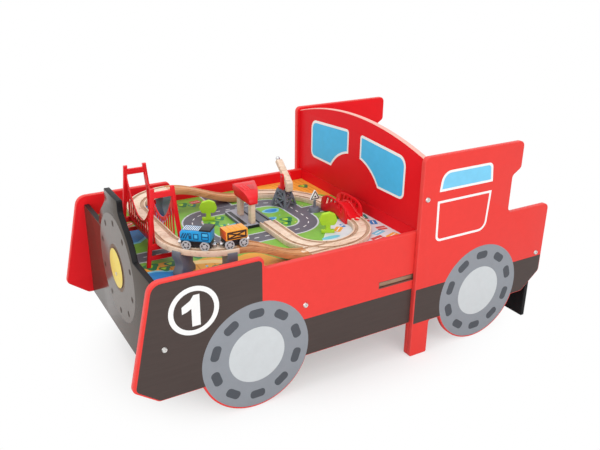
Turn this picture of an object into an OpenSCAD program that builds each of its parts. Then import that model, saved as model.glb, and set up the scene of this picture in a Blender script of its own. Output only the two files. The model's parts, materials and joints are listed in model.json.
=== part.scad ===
// Toy locomotive play table: painted boards, a sunk play tray with a wooden
// railway on it, and a cabin with a seat behind. Millimetres, +Z up, the
// front of the engine at -X, its left side at -Y.

/* [Table] */
// Overall length, nose to tail
table_len = 1050; // [1010:10:1200]
// Overall width over the cabin sides
table_w = 544; // [528:4:620]
// Thickness of every painted board
board_t = 12; // [10:1:15]
// Height of the straight lower edge of the sides
skirt_z = 85; // [70:1:100]
// Height of the low rail beside the tray and of the tail
rail_z = 312; // [306:1:330]

/* [Wheels] */
// Radius of the wheel discs cut into the side boards
wheel_r = 122; // [110:1:130]
// Front wheel centre, behind the nose
front_wheel_from_nose = 257; // [245:1:275]
// Rear wheel centre, ahead of the tail
rear_wheel_from_tail = 206; // [196:1:216]

/* [Bonnet] */
// Height of the bonnet part of the front sides
bonnet_z = 336; // [330:1:360]
// How far the leaning front edge runs back to the top
nose_lean = 47; // [30:1:60]
// Height of the foremost corner
nose_z = 122; // [112:1:140]
// Length of the sloped chin under the nose
chin_run = 50; // [40:1:60]
// Step from the bonnet down to the low rail, behind the nose
step_from_nose = 276; // [250:1:300]
// How far the front sides run on inside the cabin sides
side_lap = 108; // [80:1:140]

/* [Cabin] */
// Length of the cabin sides
cabin_len = 403; // [380:1:420]
// Height of the cabin roof line
cabin_z = 483; // [460:1:520]
// Length of the roof
roof_len = 290; // [280:1:300]
// Height of the roof's rear lower lip
roof_lip_z = 419; // [405:1:430]
// How far the tail cut-out runs in under the roof
notch_in = 25; // [15:1:35]
// Width of the leg under the cabin's front edge
leg_w = 49; // [40:1:60]
// Length of the sloped corner under the tail
tail_run = 54; // [40:1:65]
// Height of the sloped corner under the tail
tail_rise = 46; // [35:1:60]

/* [Front panel] */
// Set-back of the front panel behind the nose
panel_from_nose = 61; // [58:1:75]
// Radius of the smokebox round of the front panel
boiler_r = 134; // [120:1:140]
// Height of the smokebox centre
boiler_z = 258; // [250:1:262]
// Height of the panel's low shoulders
shoulder_z = 316; // [306:1:322]
// Height of the chimney top
chimney_z = 419; // [410:1:440]
// Width of the chimney
chimney_w = 92; // [80:1:110]
// Radius of the head lamp disc
lamp_r = 44; // [36:1:50]
// Thickness of the head lamp disc
lamp_t = 2; // [1.5:0.5:6]

/* [Windscreen] */
// Front face of the windscreen, behind the cabin's front edge
screen_in = 9; // [6:1:14]
// Height of the arched top in the middle
arch_z = 514; // [500:1:530]
// Radius of the arched top
arch_r = 880; // [800:10:1000]

/* [Seat] */
// Height of the seat's underside
seat_z = 198; // [190:1:204]
// Front edge of the seat board, ahead of the cabin's front edge
seat_ahead = 91; // [70:1:110]
// Length of the tabs that lock the seat into the front sides
tab_len = 159; // [120:1:180]
// Width of the feet of the rear trestle
foot_w = 60; // [50:1:80]

/* [Tray] */
// Height of the tray's playing face
tray_z = 284; // [276:1:290]
// Thickness of the tray board
tray_t = 6; // [4:1:9]
// Side of the square battens under the tray
batten = 15; // [12:1:20]
// Cross board, behind the nose
cross_from_nose = 364; // [350:1:380]
// Depth of the cross board
cross_h = 108; // [98:1:130]

/* [Track] */
// Width of the wooden track
track_w = 40; // [38:0.5:42]
// Thickness of the wooden track
track_h = 12; // [11:0.5:14]
// Spacing of the two grooves, centre to centre
gauge = 26; // [25:0.5:27]
// Width of a groove
groove_w = 7.6; // [7.4:0.1:8]
// Depth of a groove
groove_d = 3; // [2.5:0.5:4]
// Diameter of the peg's round head
peg_d = 11; // [10:0.5:12]
// Width of the peg's neck
peg_neck = 5; // [4:0.5:6]
// Reach of the peg, end face to head centre
peg_reach = 11; // [10:0.5:12]
// Clearance round a peg in its socket
peg_gap = 0.6; // [0.4:0.1:0.8]
// Height of the raised track's underside over the tray
raise = 49; // [44:1:52]
// Bend radius of the tight curves, on the centre line
curve_r = 105; // [102:1:108]
// Bend radius of the wide rear curve
wide_r = 165; // [160:1:170]

/* [Suspension bridge] */
// Height of the towers over the tray
tower_h = 165; // [150:1:175]
// Width over the tower posts at the top
tower_top_w = 49; // [46:1:52]
// Width over the tower posts at the feet
tower_foot_w = 86; // [80:1:96]
// Thickness of the tower plates
tower_t = 8; // [6:1:9]
// Width of a tower post
post_w = 8; // [6:0.5:9]
// Thickness of the cable panels
cable_t = 2.4; // [2:0.2:3.2]
// Number of slots in a cable panel
cable_slots = 11; // [9:1:13]

/* [Arch bridge] */
// Rise of its deck in the middle
arch_rise = 20; // [14:1:24]
// Height of its railings over the deck
arch_rail = 15; // [11:1:19]

/* [Train] */
// Length of the locomotive body
loco_len = 60; // [56:1:64]
// Length of the wagon body
wagon_len = 46; // [42:1:50]
// Width of both bodies
train_w = 30; // [28:1:32]
// Diameter of the wheels
train_wheel_d = 19; // [17:0.5:20]
// Thickness of the wheels
train_wheel_t = 4; // [3.5:0.5:4.5]
// Diameter of the axles
axle_d = 3; // [2.5:0.5:3.5]
// Place of the train along the near curve, in degrees at the wagon
wagon_turn = 1; // [0:0.5:2]

/* [Crane] */
// Side of the crane tower's foot
crane_foot = 48; // [42:1:54]
// Side of the crane tower's head
crane_head_w = 24; // [22:1:28]
// Height of the crane tower
crane_h = 46; // [40:1:52]
// Length of the jib's upper arm from its pin
jib_arm = 47; // [40:1:54]

/* [Hidden] */
$fn = 48;
overrun = 1;
fit_gap = 0.2;
seat_gap = 0.3;
run_gap = 0.08;
corner_steps = 6;
curve_steps = 18;

// Main stations along X and across Y
nose_corner = 14;
nose_to_chin = [chin_run, skirt_z - nose_z];
nose_to_top = [nose_lean, bonnet_z - nose_z];
nose_trim = rounded_tip(nose_to_chin, nose_to_top, nose_corner);
nose_x = -table_len/2 - nose_trim;
tail_x = table_len/2;
cabin_x = tail_x - cabin_len;
roof_x = cabin_x + roof_len;
step_x = nose_x + step_from_nose;
side_end_x = cabin_x + side_lap;
cabin_y = table_w/2;
side_y = cabin_y - board_t;
inner_y = side_y - board_t;
panel_x = nose_x + panel_from_nose;
panel_back_x = panel_x + board_t;
screen_x = cabin_x + screen_in;
cross_x = nose_x + cross_from_nose;
seat_front_x = cabin_x - seat_ahead;
seat_top_z = seat_z + board_t;
trestle_x = cabin_x + board_t/4;
tail_trestle_x = tail_x - tail_run/2;
seat_back_x = tail_trestle_x + board_t;

// Corner radii of the painted boards
nose_round = 26;
chin_round = 12;
step_round = 10;
board_round = 6;
roof_round = 13;
leg_round = 4;
tail_round = 14;
chimney_round = 14;
foot_round = 20;

// Fastenings: cap bolts with barrel nuts, dowels beside them
bolt_d = 6;
bolt_len = 50;
bolt_head_d = 12;
bolt_head_h = 2.6;
bolt_key = 4;
nut_d = 10;
nut_len = 10;
nut_from_end = 8;
dowel_d = 6;
dowel_len = 30;
dowel_in = 9;
dowel_gap = 40;
panel_bolt_z = 195;
cross_bolt_z = 207;
screen_bolt_z = 388;
tail_bolt_z = 184;
end_dowel_z = 250;
trestle_dowel_z = 140;
lamp_screw_d = 4;
lamp_screw_head_d = 8;
lamp_screw_len = 12;
tab_back = 5;
tab_y = side_y - tab_back;
lamp_drop = 4;
lamp_screw_drop = 13;
lamp_z = boiler_z - lamp_drop;

// Joints: centre plane X, height, inner face of the side, nut side,
// dowel places as shares of the dowel gap, bolted or not
JOINTS_shares = [[-1, 1], [-0.5, 1], [-1, 1], [-1.6, -0.8], [-0.6, 0.6], [-0.6, 0.6]];
JOINTS = [
    [panel_x + board_t/2, panel_bolt_z, inner_y, 1, true],
    [cross_x + board_t/2, cross_bolt_z, inner_y, 1, true],
    [screen_x + board_t/2, screen_bolt_z, side_y, 1, true],
    [tail_trestle_x + board_t/2, tail_bolt_z, side_y, -1, true],
    [screen_x + board_t/2, end_dowel_z, inner_y, 1, false],
    [trestle_x + board_t/2, trestle_dowel_z, inner_y, 1, false]
];

// Railway: joints of the loop, each with its heading in degrees
// The track set is made for a tray of this size, and on a smaller tray its plan is scaled to fit
set_len = 584;
set_w = 496;
fit = min(1, (screen_x - panel_back_x)/set_len, 2*inner_y/set_w);
bend_r = curve_r*fit;
big_r = wide_r*fit;
set_front = 67;
set_near = 51;
set_far = 65;
set_rear = 56;
set_switch = 87;
set_branch_in = 5;
set_straight = 106;
front_margin = set_front*fit;
near_margin = set_near*fit;
far_margin = set_far*fit;
rear_margin = set_rear*fit;
loop_front_x = panel_back_x + front_margin;
loop_near_y = near_margin - inner_y;
far_y = inner_y - far_margin;
loop_rear_x = screen_x - rear_margin;
raised_z = tray_z + raise;
near_c = [loop_front_x + bend_r, loop_near_y + bend_r];
far_c = [loop_front_x + bend_r, far_y - bend_r];
deck_end_y = far_c.y;
deck_len = far_c.y - near_c.y;
right_c = [loop_rear_x - bend_r, loop_near_y + bend_r];
wide_c = [loop_rear_x - big_r, far_y - big_r];
arch_end_y = wide_c.y;
arch_len = wide_c.y - right_c.y;
switch_len = set_switch*fit;
switch_x = right_c.x - switch_len;
ramp_len = switch_x - near_c.x;
branch_in = set_branch_in*fit;
branch_r = switch_len - branch_in;
branch_x = right_c.x - branch_r;
branch_y = loop_near_y + branch_r;
straight_len = set_straight*fit;

// Shapes in the plane

// A closed outline from corners [x, y, radius]
function rounded(p) = [
    for (i = [0 : len(p) - 1])
        each corner(p[(i + len(p) - 1) % len(p)], p[i], p[(i + 1) % len(p)])
];
function flat(p) = [p[0], p[1]];
function unit(v) = v/norm(v);
function corner(a, b, c) = b[2] == 0 ? [flat(b)] :
    let(u = unit(flat(a) - flat(b)),
        v = unit(flat(c) - flat(b)),
        half = acos(u*v)/2,
        from_tip = b[2]/tan(half),
        mid = flat(b) + unit(u + v)*b[2]/sin(half),
        s = flat(b) + u*from_tip - mid,
        e = flat(b) + v*from_tip - mid,
        a0 = atan2(s.y, s.x),
        raw = atan2(e.y, e.x) - a0,
        turn = raw > 180 ? raw - 360 : raw < -180 ? raw + 360 : raw)
    [for (k = [0 : corner_steps])
        mid + b[2]*[cos(a0 + turn*k/corner_steps), sin(a0 + turn*k/corner_steps)]];
// How far rounding a corner that points to -X pulls its tip in
function rounded_tip(a, b, r) =
    let(u = unit(a), v = unit(b), half = acos(u*v)/2)
    unit(u + v).x*r/sin(half) - r;
// Smooth rise from 0 to 1, and a smooth hump
function rise(u) = (1 - cos(180*u))/2;
function hump(u) = (1 - cos(360*u))/2;

// Board standing along X, from y_hi towards -Y
module xz_board(y_hi, t = board_t) {
    translate([0, y_hi, 0]) rotate([90, 0, 0]) linear_extrude(t) children();
}
// Board standing across, from x_lo towards +X
module yz_board(x_lo, t = board_t) {
    translate([x_lo, 0, 0]) rotate([90, 0, 90]) linear_extrude(t) children();
}
module both_sides() {
    children();
    mirror([0, 1, 0]) children();
}
module bar_y(d, len) {
    rotate([90, 0, 0]) cylinder(d = d, h = len, center = true);
}
module block(x0, x1, y0, y1, z0, z1) {
    translate([x0, y0, z0]) cube([x1 - x0, y1 - y0, z1 - z0]);
}

// Fastening holes, on the -Y side; both_sides() gives the other
module bolt_holes() {
    for (j = JOINTS) if (j[4]) {
        face_y = -j[2] - board_t;
        translate([j[0], face_y + bolt_len/2, j[1]])
            bar_y(bolt_d + 2*fit_gap, bolt_len + 2*overrun);
        nut_place(j, fit_gap, overrun);
    }
    for (i = [0 : len(JOINTS) - 1]) for (share = JOINTS_shares[i]) {
        translate([JOINTS[i][0], -JOINTS[i][2] - dowel_in + dowel_len/2, JOINTS[i][1] + share*dowel_gap])
            bar_y(dowel_d + 2*fit_gap, dowel_len + 2*fit_gap);
    }
}
module nut_place(j, gap, past) {
    depth = board_t/2 + past;
    back = nut_len - board_t/2 + gap;
    low = j[3] > 0 ? j[0] - back : j[0] - depth;
    translate([low, -j[2] - board_t + bolt_len - nut_from_end, j[1]])
        rotate([0, 90, 0]) cylinder(d = nut_d + 2*gap, h = depth + back);
}
module all_holes() {
    both_sides() bolt_holes();
}

// Painted boards
module front_outline() {
    polygon(rounded([
        [nose_x, nose_z, nose_corner],
        [nose_x + chin_run, skirt_z, chin_round],
        [cabin_x, skirt_z, 0],
        [cabin_x, 0, leg_round],
        [cabin_x + leg_w, 0, leg_round],
        [cabin_x + leg_w, skirt_z, board_round],
        [side_end_x, skirt_z, board_round],
        [side_end_x, rail_z, board_round],
        [step_x, rail_z, step_round],
        [step_x, bonnet_z, step_round],
        [nose_x + nose_lean, bonnet_z, nose_round]
    ]));
    translate([nose_x + front_wheel_from_nose, wheel_r]) circle(wheel_r, $fn = 180);
}
module front_side(y_hi) {
    difference() {
        xz_board(y_hi) front_outline();
        block(seat_front_x - fit_gap, seat_front_x + tab_len + fit_gap,
            -cabin_y, cabin_y, seat_z - fit_gap, seat_top_z + fit_gap);
        all_holes();
    }
}
module front_side_left() { color("tomato") front_side(-inner_y); }
module front_side_right() { color("tomato") front_side(side_y); }

module cabin_outline() {
    polygon(rounded([
        [cabin_x, 0, leg_round],
        [cabin_x + leg_w, 0, leg_round],
        [cabin_x + leg_w, skirt_z, board_round],
        [tail_x - tail_run, skirt_z, chin_round],
        [tail_x, skirt_z + tail_rise, tail_round],
        [tail_x, rail_z, tail_round],
        [roof_x - notch_in, rail_z, tail_round],
        [roof_x - notch_in, roof_lip_z - notch_in/2 - tail_round/4, chin_round],
        [roof_x, roof_lip_z, chin_round],
        [roof_x, cabin_z, roof_round],
        [cabin_x, cabin_z, roof_round]
    ]));
    translate([tail_x - rear_wheel_from_tail, wheel_r]) circle(wheel_r, $fn = 180);
}
module cabin_side(y_hi) {
    difference() {
        xz_board(y_hi) cabin_outline();
        all_holes();
    }
}
module cabin_side_left() { color("tomato") cabin_side(-side_y); }
module cabin_side_right() { color("tomato") cabin_side(cabin_y); }

flare_w_share = 2.05;
flare_low_share = 0.70;
module front_panel_outline() {
    flare_y = chimney_w*flare_w_share/2;
    flare_z = boiler_z + boiler_r*flare_low_share;
    neck_z = (chimney_z + flare_z)/2 + chimney_round/2;
    polygon(rounded([
        [-inner_y, skirt_z, 0],
        [inner_y, skirt_z, 0],
        [inner_y, shoulder_z, board_round],
        [-inner_y, shoulder_z, board_round]
    ]));
    translate([0, boiler_z]) circle(boiler_r, $fn = 180);
    polygon(rounded([
        [flare_y, boiler_z, 0],
        [flare_y, flare_z, 0],
        [chimney_w/2, neck_z, chimney_round],
        [chimney_w/2, chimney_z, leg_round],
        [-chimney_w/2, chimney_z, leg_round],
        [-chimney_w/2, neck_z, chimney_round],
        [-flare_y, flare_z, 0],
        [-flare_y, boiler_z, 0]
    ]));
}
module front_panel() {
    color("dimgray") difference() {
        yz_board(panel_x) front_panel_outline();
        all_holes();
        translate([panel_x - overrun, 0, lamp_z - lamp_screw_drop]) rotate([0, 90, 0])
            cylinder(d = lamp_screw_d + 2*fit_gap, h = lamp_screw_len - lamp_t + overrun);
    }
}
module lamp_disc() {
    color("khaki") translate([panel_x - lamp_t, 0, lamp_z]) rotate([0, 90, 0]) difference() {
        cylinder(r = lamp_r, h = lamp_t, $fn = 120);
        translate([lamp_screw_drop, 0, -overrun])
            cylinder(d = lamp_screw_d + 2*fit_gap, h = lamp_t + 2*overrun);
    }
}
module lamp_screw() {
    color("silver") translate([panel_x - lamp_t, 0, lamp_z - lamp_screw_drop]) rotate([0, 90, 0]) {
        cylinder(d = lamp_screw_d, h = lamp_screw_len - fit_gap);
        translate([0, 0, -bolt_head_h/2]) cylinder(d = lamp_screw_head_d, h = bolt_head_h/2);
    }
}

module windscreen_panel() {
    color("firebrick") difference() {
        yz_board(screen_x) intersection() {
            translate([-side_y, rail_z]) square([2*side_y, arch_z - rail_z]);
            translate([0, arch_z - arch_r]) circle(arch_r, $fn = 360);
        }
        all_holes();
    }
}
module tray_end_board() {
    color("firebrick") difference() {
        block(screen_x, screen_x + board_t, -inner_y, inner_y, seat_top_z, rail_z);
        all_holes();
    }
}
module cross_board() {
    color("firebrick") difference() {
        block(cross_x, cross_x + board_t, -inner_y, inner_y, tray_z - tray_t - cross_h, tray_z - tray_t);
        both_sides() block(cross_x - overrun, cross_x + board_t + overrun, inner_y - batten - fit_gap,
            inner_y + overrun, tray_z - tray_t - batten - fit_gap, tray_z);
        all_holes();
    }
}
// Two boards under the seat: the front one hangs between the legs, the rear one stands on two feet
module front_trestle() {
    color("tomato") difference() {
        yz_board(trestle_x) polygon([
            [-inner_y, skirt_z],
            [inner_y, skirt_z],
            [inner_y, seat_z],
            [-inner_y, seat_z]
        ]);
        all_holes();
    }
}
module rear_trestle() {
    color("dimgray") difference() {
        yz_board(tail_trestle_x) polygon(rounded([
            [-side_y, 0, 0],
            [foot_w - side_y, 0, leg_round],
            [foot_w - side_y, skirt_z, foot_round],
            [side_y - foot_w, skirt_z, foot_round],
            [side_y - foot_w, 0, leg_round],
            [side_y, 0, 0],
            [side_y, seat_z, 0],
            [-side_y, seat_z, 0]
        ]));
        all_holes();
    }
}

module seat_board() {
    color("tomato") translate([0, 0, seat_z]) linear_extrude(board_t) difference() {
        polygon([
            [seat_front_x, -tab_y],
            [seat_front_x + tab_len, -tab_y],
            [seat_front_x + tab_len, -inner_y],
            [side_end_x + fit_gap, -inner_y],
            [side_end_x + fit_gap, -side_y],
            [seat_back_x, -side_y],
            [seat_back_x, side_y],
            [side_end_x + fit_gap, side_y],
            [side_end_x + fit_gap, inner_y],
            [seat_front_x + tab_len, inner_y],
            [seat_front_x + tab_len, tab_y],
            [seat_front_x, tab_y]
        ]);
    }
}
module tray_board() {
    color("yellowgreen") block(panel_back_x, screen_x, -inner_y, inner_y, tray_z - tray_t, tray_z);
}
module side_batten(sign_y) {
    y_lo = sign_y > 0 ? inner_y - batten : -inner_y;
    block(panel_back_x, screen_x, y_lo, y_lo + batten, tray_z - tray_t - batten, tray_z - tray_t);
}
module cross_batten(x_lo) {
    block(x_lo, x_lo + batten, batten - inner_y, inner_y - batten, tray_z - tray_t - batten, tray_z - tray_t);
}
module tray_batten_left() { color("burlywood") side_batten(-1); }
module tray_batten_right() { color("burlywood") side_batten(1); }
module tray_battens_cross() {
    color("burlywood") {
        cross_batten(panel_back_x);
        cross_batten(screen_x - batten);
    }
}

module panel_bolts() {
    color("silver") both_sides() for (j = JOINTS) if (j[4]) {
        translate([j[0], -j[2] - board_t, j[1]]) rotate([-90, 0, 0]) {
            cylinder(d = bolt_d, h = bolt_len);
            difference() {
                translate([0, 0, -bolt_head_h])
                    cylinder(d1 = bolt_head_d - bolt_head_h, d2 = bolt_head_d, h = bolt_head_h);
                translate([0, 0, -bolt_head_h - overrun])
                    cylinder(d = bolt_key, h = bolt_head_h/2 + overrun, $fn = 6);
            }
        }
    }
}
module barrel_nuts() {
    color("silver") both_sides() difference() {
        for (j = JOINTS) if (j[4]) nut_place(j, 0, 0);
        for (j = JOINTS) if (j[4])
            translate([j[0], -j[2] - board_t + bolt_len/2, j[1]])
                bar_y(bolt_d + 2*fit_gap, bolt_len + 2*overrun);
    }
}
module panel_dowels() {
    color("burlywood") both_sides()
        for (i = [0 : len(JOINTS) - 1]) for (share = JOINTS_shares[i])
            translate([JOINTS[i][0], -JOINTS[i][2] - dowel_in + dowel_len/2, JOINTS[i][1] + share*dowel_gap])
                bar_y(dowel_d, dowel_len);
}

// Wooden railway. A piece starts at its own origin and heads along +X
module at(x, y, heading, z = tray_z) {
    translate([x, y, z]) rotate([0, 0, heading]) children();
}
module track_face() {
    translate([-track_w/2, 0]) square([track_w, track_h]);
}
module groove_faces() {
    for (s = [-1, 1])
        translate([s*gauge/2 - groove_w/2, track_h - groove_d]) square([groove_w, groove_d + overrun]);
}
module along(len) {
    rotate([90, 0, 90]) linear_extrude(len) children();
}
// Curve to the right of the heading
module around(r, turn) {
    mirror([0, 1, 0]) translate([0, r, 0]) rotate([0, 0, -90])
        rotate_extrude(angle = turn, $fn = 120) translate([r, 0]) children();
}
module peg() {
    linear_extrude(track_h) {
        translate([-peg_neck/2, -peg_neck/2]) square([peg_reach + peg_neck/2, peg_neck]);
        translate([peg_reach, 0]) circle(d = peg_d);
    }
}
module socket() {
    neck = peg_neck + 2*peg_gap;
    translate([0, 0, -overrun]) linear_extrude(track_h + 2*overrun) {
        translate([-overrun, -neck/2]) square([peg_reach + overrun, neck]);
        translate([peg_reach, 0]) circle(d = peg_d + 2*peg_gap);
    }
}
module straight_track(len) {
    difference() {
        along(len) track_face();
        translate([-overrun, 0, 0]) along(len + 2*overrun) groove_faces();
        socket();
    }
}
module curved_track(r, turn) {
    difference() {
        around(r, turn) track_face();
        around(r, turn) groove_faces();
        socket();
    }
    translate([r*sin(turn), r*(cos(turn) - 1), 0]) rotate([0, 0, -turn]) peg();
}
// Top line of a ramp between two heights of the track's underside
function ramp_line(len, z0, z1, up) = [
    for (i = [0 : curve_steps]) [len*i/curve_steps, z0 + (z1 - z0)*rise(i/curve_steps) + up]
];
function back_to_front(p) = [for (i = [len(p) - 1 : -1 : 0]) p[i]];
module ramp_sheet(len, z0, z1, low, high, w) {
    translate([0, w/2, 0]) rotate([90, 0, 0]) linear_extrude(w)
        polygon(concat(ramp_line(len, z0, z1, low), back_to_front(ramp_line(len, z0, z1, high))));
}
module ramp_track(len, z0, z1) {
    difference() {
        ramp_sheet(len, z0, z1, 0, track_h, track_w);
        for (s = [-1, 1]) translate([0, s*gauge/2, 0])
            ramp_sheet(len, z0, z1, track_h - groove_d, track_h + overrun, groove_w);
        translate([0, 0, z0]) socket();
    }
    translate([len, 0, z1]) peg();
}

module track_ramp_near() { color("peru") at(switch_x, loop_near_y, 180) ramp_track(ramp_len, 0, raise); }
module track_curve_near() {
    color("wheat") at(near_c.x, loop_near_y, 180, raised_z) curved_track(bend_r, 90);
}
module bridge_deck() {
    color("wheat") at(loop_front_x, near_c.y, 90, raised_z) {
        straight_track(deck_len);
        translate([deck_len, 0, 0]) peg();
    }
}
module track_curve_far() {
    color("wheat") at(loop_front_x, deck_end_y, 90, raised_z) curved_track(bend_r, 90);
}
module track_ramp_rear() {
    color("peru") at(far_c.x, far_y, 0) ramp_track(wide_c.x - far_c.x, raise, 0);
}
module track_curve_rear() { color("wheat") at(wide_c.x, far_y, 0) curved_track(big_r, 90); }
module track_curve_right() { color("wheat") at(loop_rear_x, right_c.y, -90) curved_track(bend_r, 90); }
module track_switch() {
    len = switch_len;
    color("wheat") at(right_c.x, loop_near_y, 180) {
        difference() {
            union() {
                along(len) track_face();
                around(branch_r, 90) track_face();
            }
            translate([-overrun, 0, 0]) along(len + 2*overrun) groove_faces();
            around(branch_r, 90) groove_faces();
            socket();
        }
        translate([len, 0, 0]) peg();
        translate([branch_r, -branch_r, 0]) rotate([0, 0, -90]) peg();
    }
}
module track_straight() { color("wheat") at(branch_x, branch_y, 90) straight_track(straight_len); }

// Suspension bridge over the front of the tray
tower_beam_h = 12;
tower_beam_drop = 8;
tower_sill_h = 12;
tower_tie_z = 15;
tower_tie_h = 8;
bow_share = 0.30;
// Half width over the posts at a height: the posts bow outwards to the feet
function post_half(u) = tower_top_w/2 +
    (tower_foot_w - tower_top_w)/2*((1 - u)*(1 - bow_share) + bow_share*(1 - u)*(1 - u));
module tower_post(s) {
    outer = [for (i = [0 : curve_steps]) [s*post_half(i/curve_steps), tower_h*i/curve_steps]];
    inner = [for (i = [0 : curve_steps]) [s*(post_half(i/curve_steps) - post_w), tower_h*i/curve_steps]];
    polygon(concat(outer, back_to_front(inner)));
}
module tower_beam(z_lo, z_hi) {
    reach = post_half((z_lo + z_hi)/2/tower_h) - post_w/2;
    translate([-reach, z_lo]) square([2*reach, z_hi - z_lo]);
}
module bridge_tower(y_mid) {
    translate([loop_front_x, 0, tray_z]) xz_board(y_mid + tower_t/2, tower_t) {
        tower_post(1);
        tower_post(-1);
        tower_beam(tower_h - tower_beam_drop - tower_beam_h, tower_h - tower_beam_drop);
        tower_beam(raise - tower_sill_h, raise);
        tower_beam(tower_tie_z, tower_tie_z + tower_tie_h);
    }
}
module bridge_tower_near() { color("red") bridge_tower(near_c.y); }
module bridge_tower_far() { color("red") bridge_tower(deck_end_y); }

cable_low = 8;
cable_top_share = 0.88;
cable_dip_share = 0.44;
slot_share = 0.74;
slot_margin = 5;
slot_low = 2;
module cable_panel(x_lo) {
    y0 = near_c.y + tower_t/2;
    y1 = deck_end_y - tower_t/2;
    z_end = tray_z + tower_h*cable_top_share;
    z_dip = tray_z + tower_h*cable_dip_share;
    pitch = (y1 - y0 - 2*slot_margin)/cable_slots;
    function cable_z(u) = z_dip + (z_end - z_dip)*(2*u - 1)*(2*u - 1);
    yz_board(x_lo, cable_t) difference() {
        polygon(concat(
            [[y1, raised_z - cable_low], [y0, raised_z - cable_low]],
            [for (i = [0 : curve_steps]) [y0 + (y1 - y0)*i/curve_steps, cable_z(i/curve_steps)]]));
        for (i = [0 : cable_slots - 1]) {
            y = y0 + slot_margin + pitch*(i + 0.5);
            u = (y - y0 + (i < cable_slots/2 ? 1 : -1)*pitch*slot_share/2)/(y1 - y0);
            z_lo = raised_z + slot_low;
            z_hi = cable_z(u) - slot_margin;
            w = pitch*slot_share;
            if (z_hi - z_lo > 1.5*w) {
                translate([y - w/2, z_lo + w/2]) square([w, z_hi - z_lo - w]);
                translate([y, z_lo + w/2]) circle(d = w);
                translate([y, z_hi - w/2]) circle(d = w);
            }
        }
    }
}
module bridge_cable_front() { color("red") cable_panel(loop_front_x - track_w/2 - cable_t); }
module bridge_cable_rear() { color("red") cable_panel(loop_front_x + track_w/2); }

// Grey piers under the raised track
pier_len = 20;
station_gap = 1;
pier_gap = 1;
pier_lip = 3;
pier_lip_h = 6;
pier_waist_share = 0.7;
pier_foot_share = 0.2;
module pier() {
    half = track_w/2 + pier_gap + pier_lip;
    translate([-pier_len/2, 0, 0]) rotate([90, 0, 90]) linear_extrude(pier_len) polygon([
        [-half, 0],
        [half, 0],
        [half, raise*pier_foot_share],
        [half*pier_waist_share, raise*2*pier_foot_share],
        [half*pier_waist_share, raise*(1 - 2*pier_foot_share)],
        [half, raise*(1 - pier_foot_share)],
        [half, raise + pier_lip_h], [half - pier_lip, raise + pier_lip_h], [half - pier_lip, raise],
        [pier_lip - half, raise], [pier_lip - half, raise + pier_lip_h], [-half, raise + pier_lip_h],
        [-half, raise*(1 - pier_foot_share)], [-half*pier_waist_share, raise*(1 - 2*pier_foot_share)],
        [-half*pier_waist_share, raise*2*pier_foot_share], [-half, raise*pier_foot_share]
    ]);
}
module on_near_curve(turn, inward = 0) {
    translate([near_c.x - (bend_r - inward)*sin(turn), near_c.y - (bend_r - inward)*cos(turn), 0])
        rotate([0, 0, 180 - turn]) children();
}
pier_turn = 58;
end_pier_turn = asin((pier_len/2 + pier_lip)/bend_r);
module pier_curve() { color("slategray") translate([0, 0, tray_z]) on_near_curve(pier_turn) pier(); }
module pier_ramp() { color("slategray") translate([0, 0, tray_z]) on_near_curve(end_pier_turn) pier(); }
module on_far_curve(turn) {
    translate([far_c.x - bend_r*cos(turn), far_c.y + bend_r*sin(turn), 0])
        rotate([0, 0, 90 - turn]) children();
}
module pier_far() { color("slategray") translate([0, 0, tray_z]) on_far_curve(90 - end_pier_turn) pier(); }

// Arch bridge at the rear end of the loop: a humped deck between full railings
arch_side_t = 4;
arch_slots = 5;
arch_slot_lean = 18;
arch_post = 5;
arch_bar = 4;
arch_low_share = 0.6;
arch_end_share = 0.14;
arch_square = 3;
function arch_line(rise, up) = [
    for (i = [0 : curve_steps]) let(u = i/curve_steps) [arch_len*u, rise*hump(u) + up]
];
// Top of a railing: a squared round from end to end
function railing_line(less) = [
    for (i = [0 : curve_steps])
        let(c = -cos(180*i/curve_steps))
        [arch_len/2 + (arch_len/2 - less)*c,
            track_h + (arch_rise + arch_rail - less)*pow(1 - pow(abs(c), arch_square), 1/arch_square)]
];
module railing_windows() {
    ends = arch_len*arch_end_share;
    pitch = (arch_len - 2*ends)/arch_slots;
    tall = arch_rise + arch_rail + track_h;
    intersection() {
        polygon(railing_line(arch_bar));
        polygon(concat(arch_line(arch_rise, track_h + arch_bar), [[arch_len, 2*tall], [0, 2*tall]]));
        for (i = [0 : arch_slots - 1]) translate([ends + pitch*(i + 0.5), tall/2])
            multmatrix([[1, sin(arch_slot_lean), 0, 0], [0, 1, 0, 0], [0, 0, 1, 0], [0, 0, 0, 1]])
                square([pitch - arch_post, 2*tall], center = true);
    }
}
module arch_bridge() {
    color("red") at(loop_rear_x, arch_end_y, -90) {
        difference() {
            translate([0, track_w/2, 0]) rotate([90, 0, 0]) linear_extrude(track_w)
                polygon(concat(arch_line(arch_rise, 0), back_to_front(arch_line(arch_rise, track_h))));
            for (s = [-1, 1]) translate([0, s*gauge/2 + groove_w/2, 0]) rotate([90, 0, 0])
                linear_extrude(groove_w) polygon(concat(arch_line(arch_rise, track_h - groove_d),
                    back_to_front(arch_line(arch_rise, track_h + overrun))));
            socket();
        }
        for (s = [-1, 1]) translate([0, s*(track_w + arch_side_t)/2 + arch_side_t/2, 0])
            rotate([90, 0, 0]) linear_extrude(arch_side_t) difference() {
                polygon(concat(arch_line(arch_rise*arch_low_share, 0), back_to_front(railing_line(0))));
                railing_windows();
            }
        translate([arch_len, 0, 0]) peg();
    }
}

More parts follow.
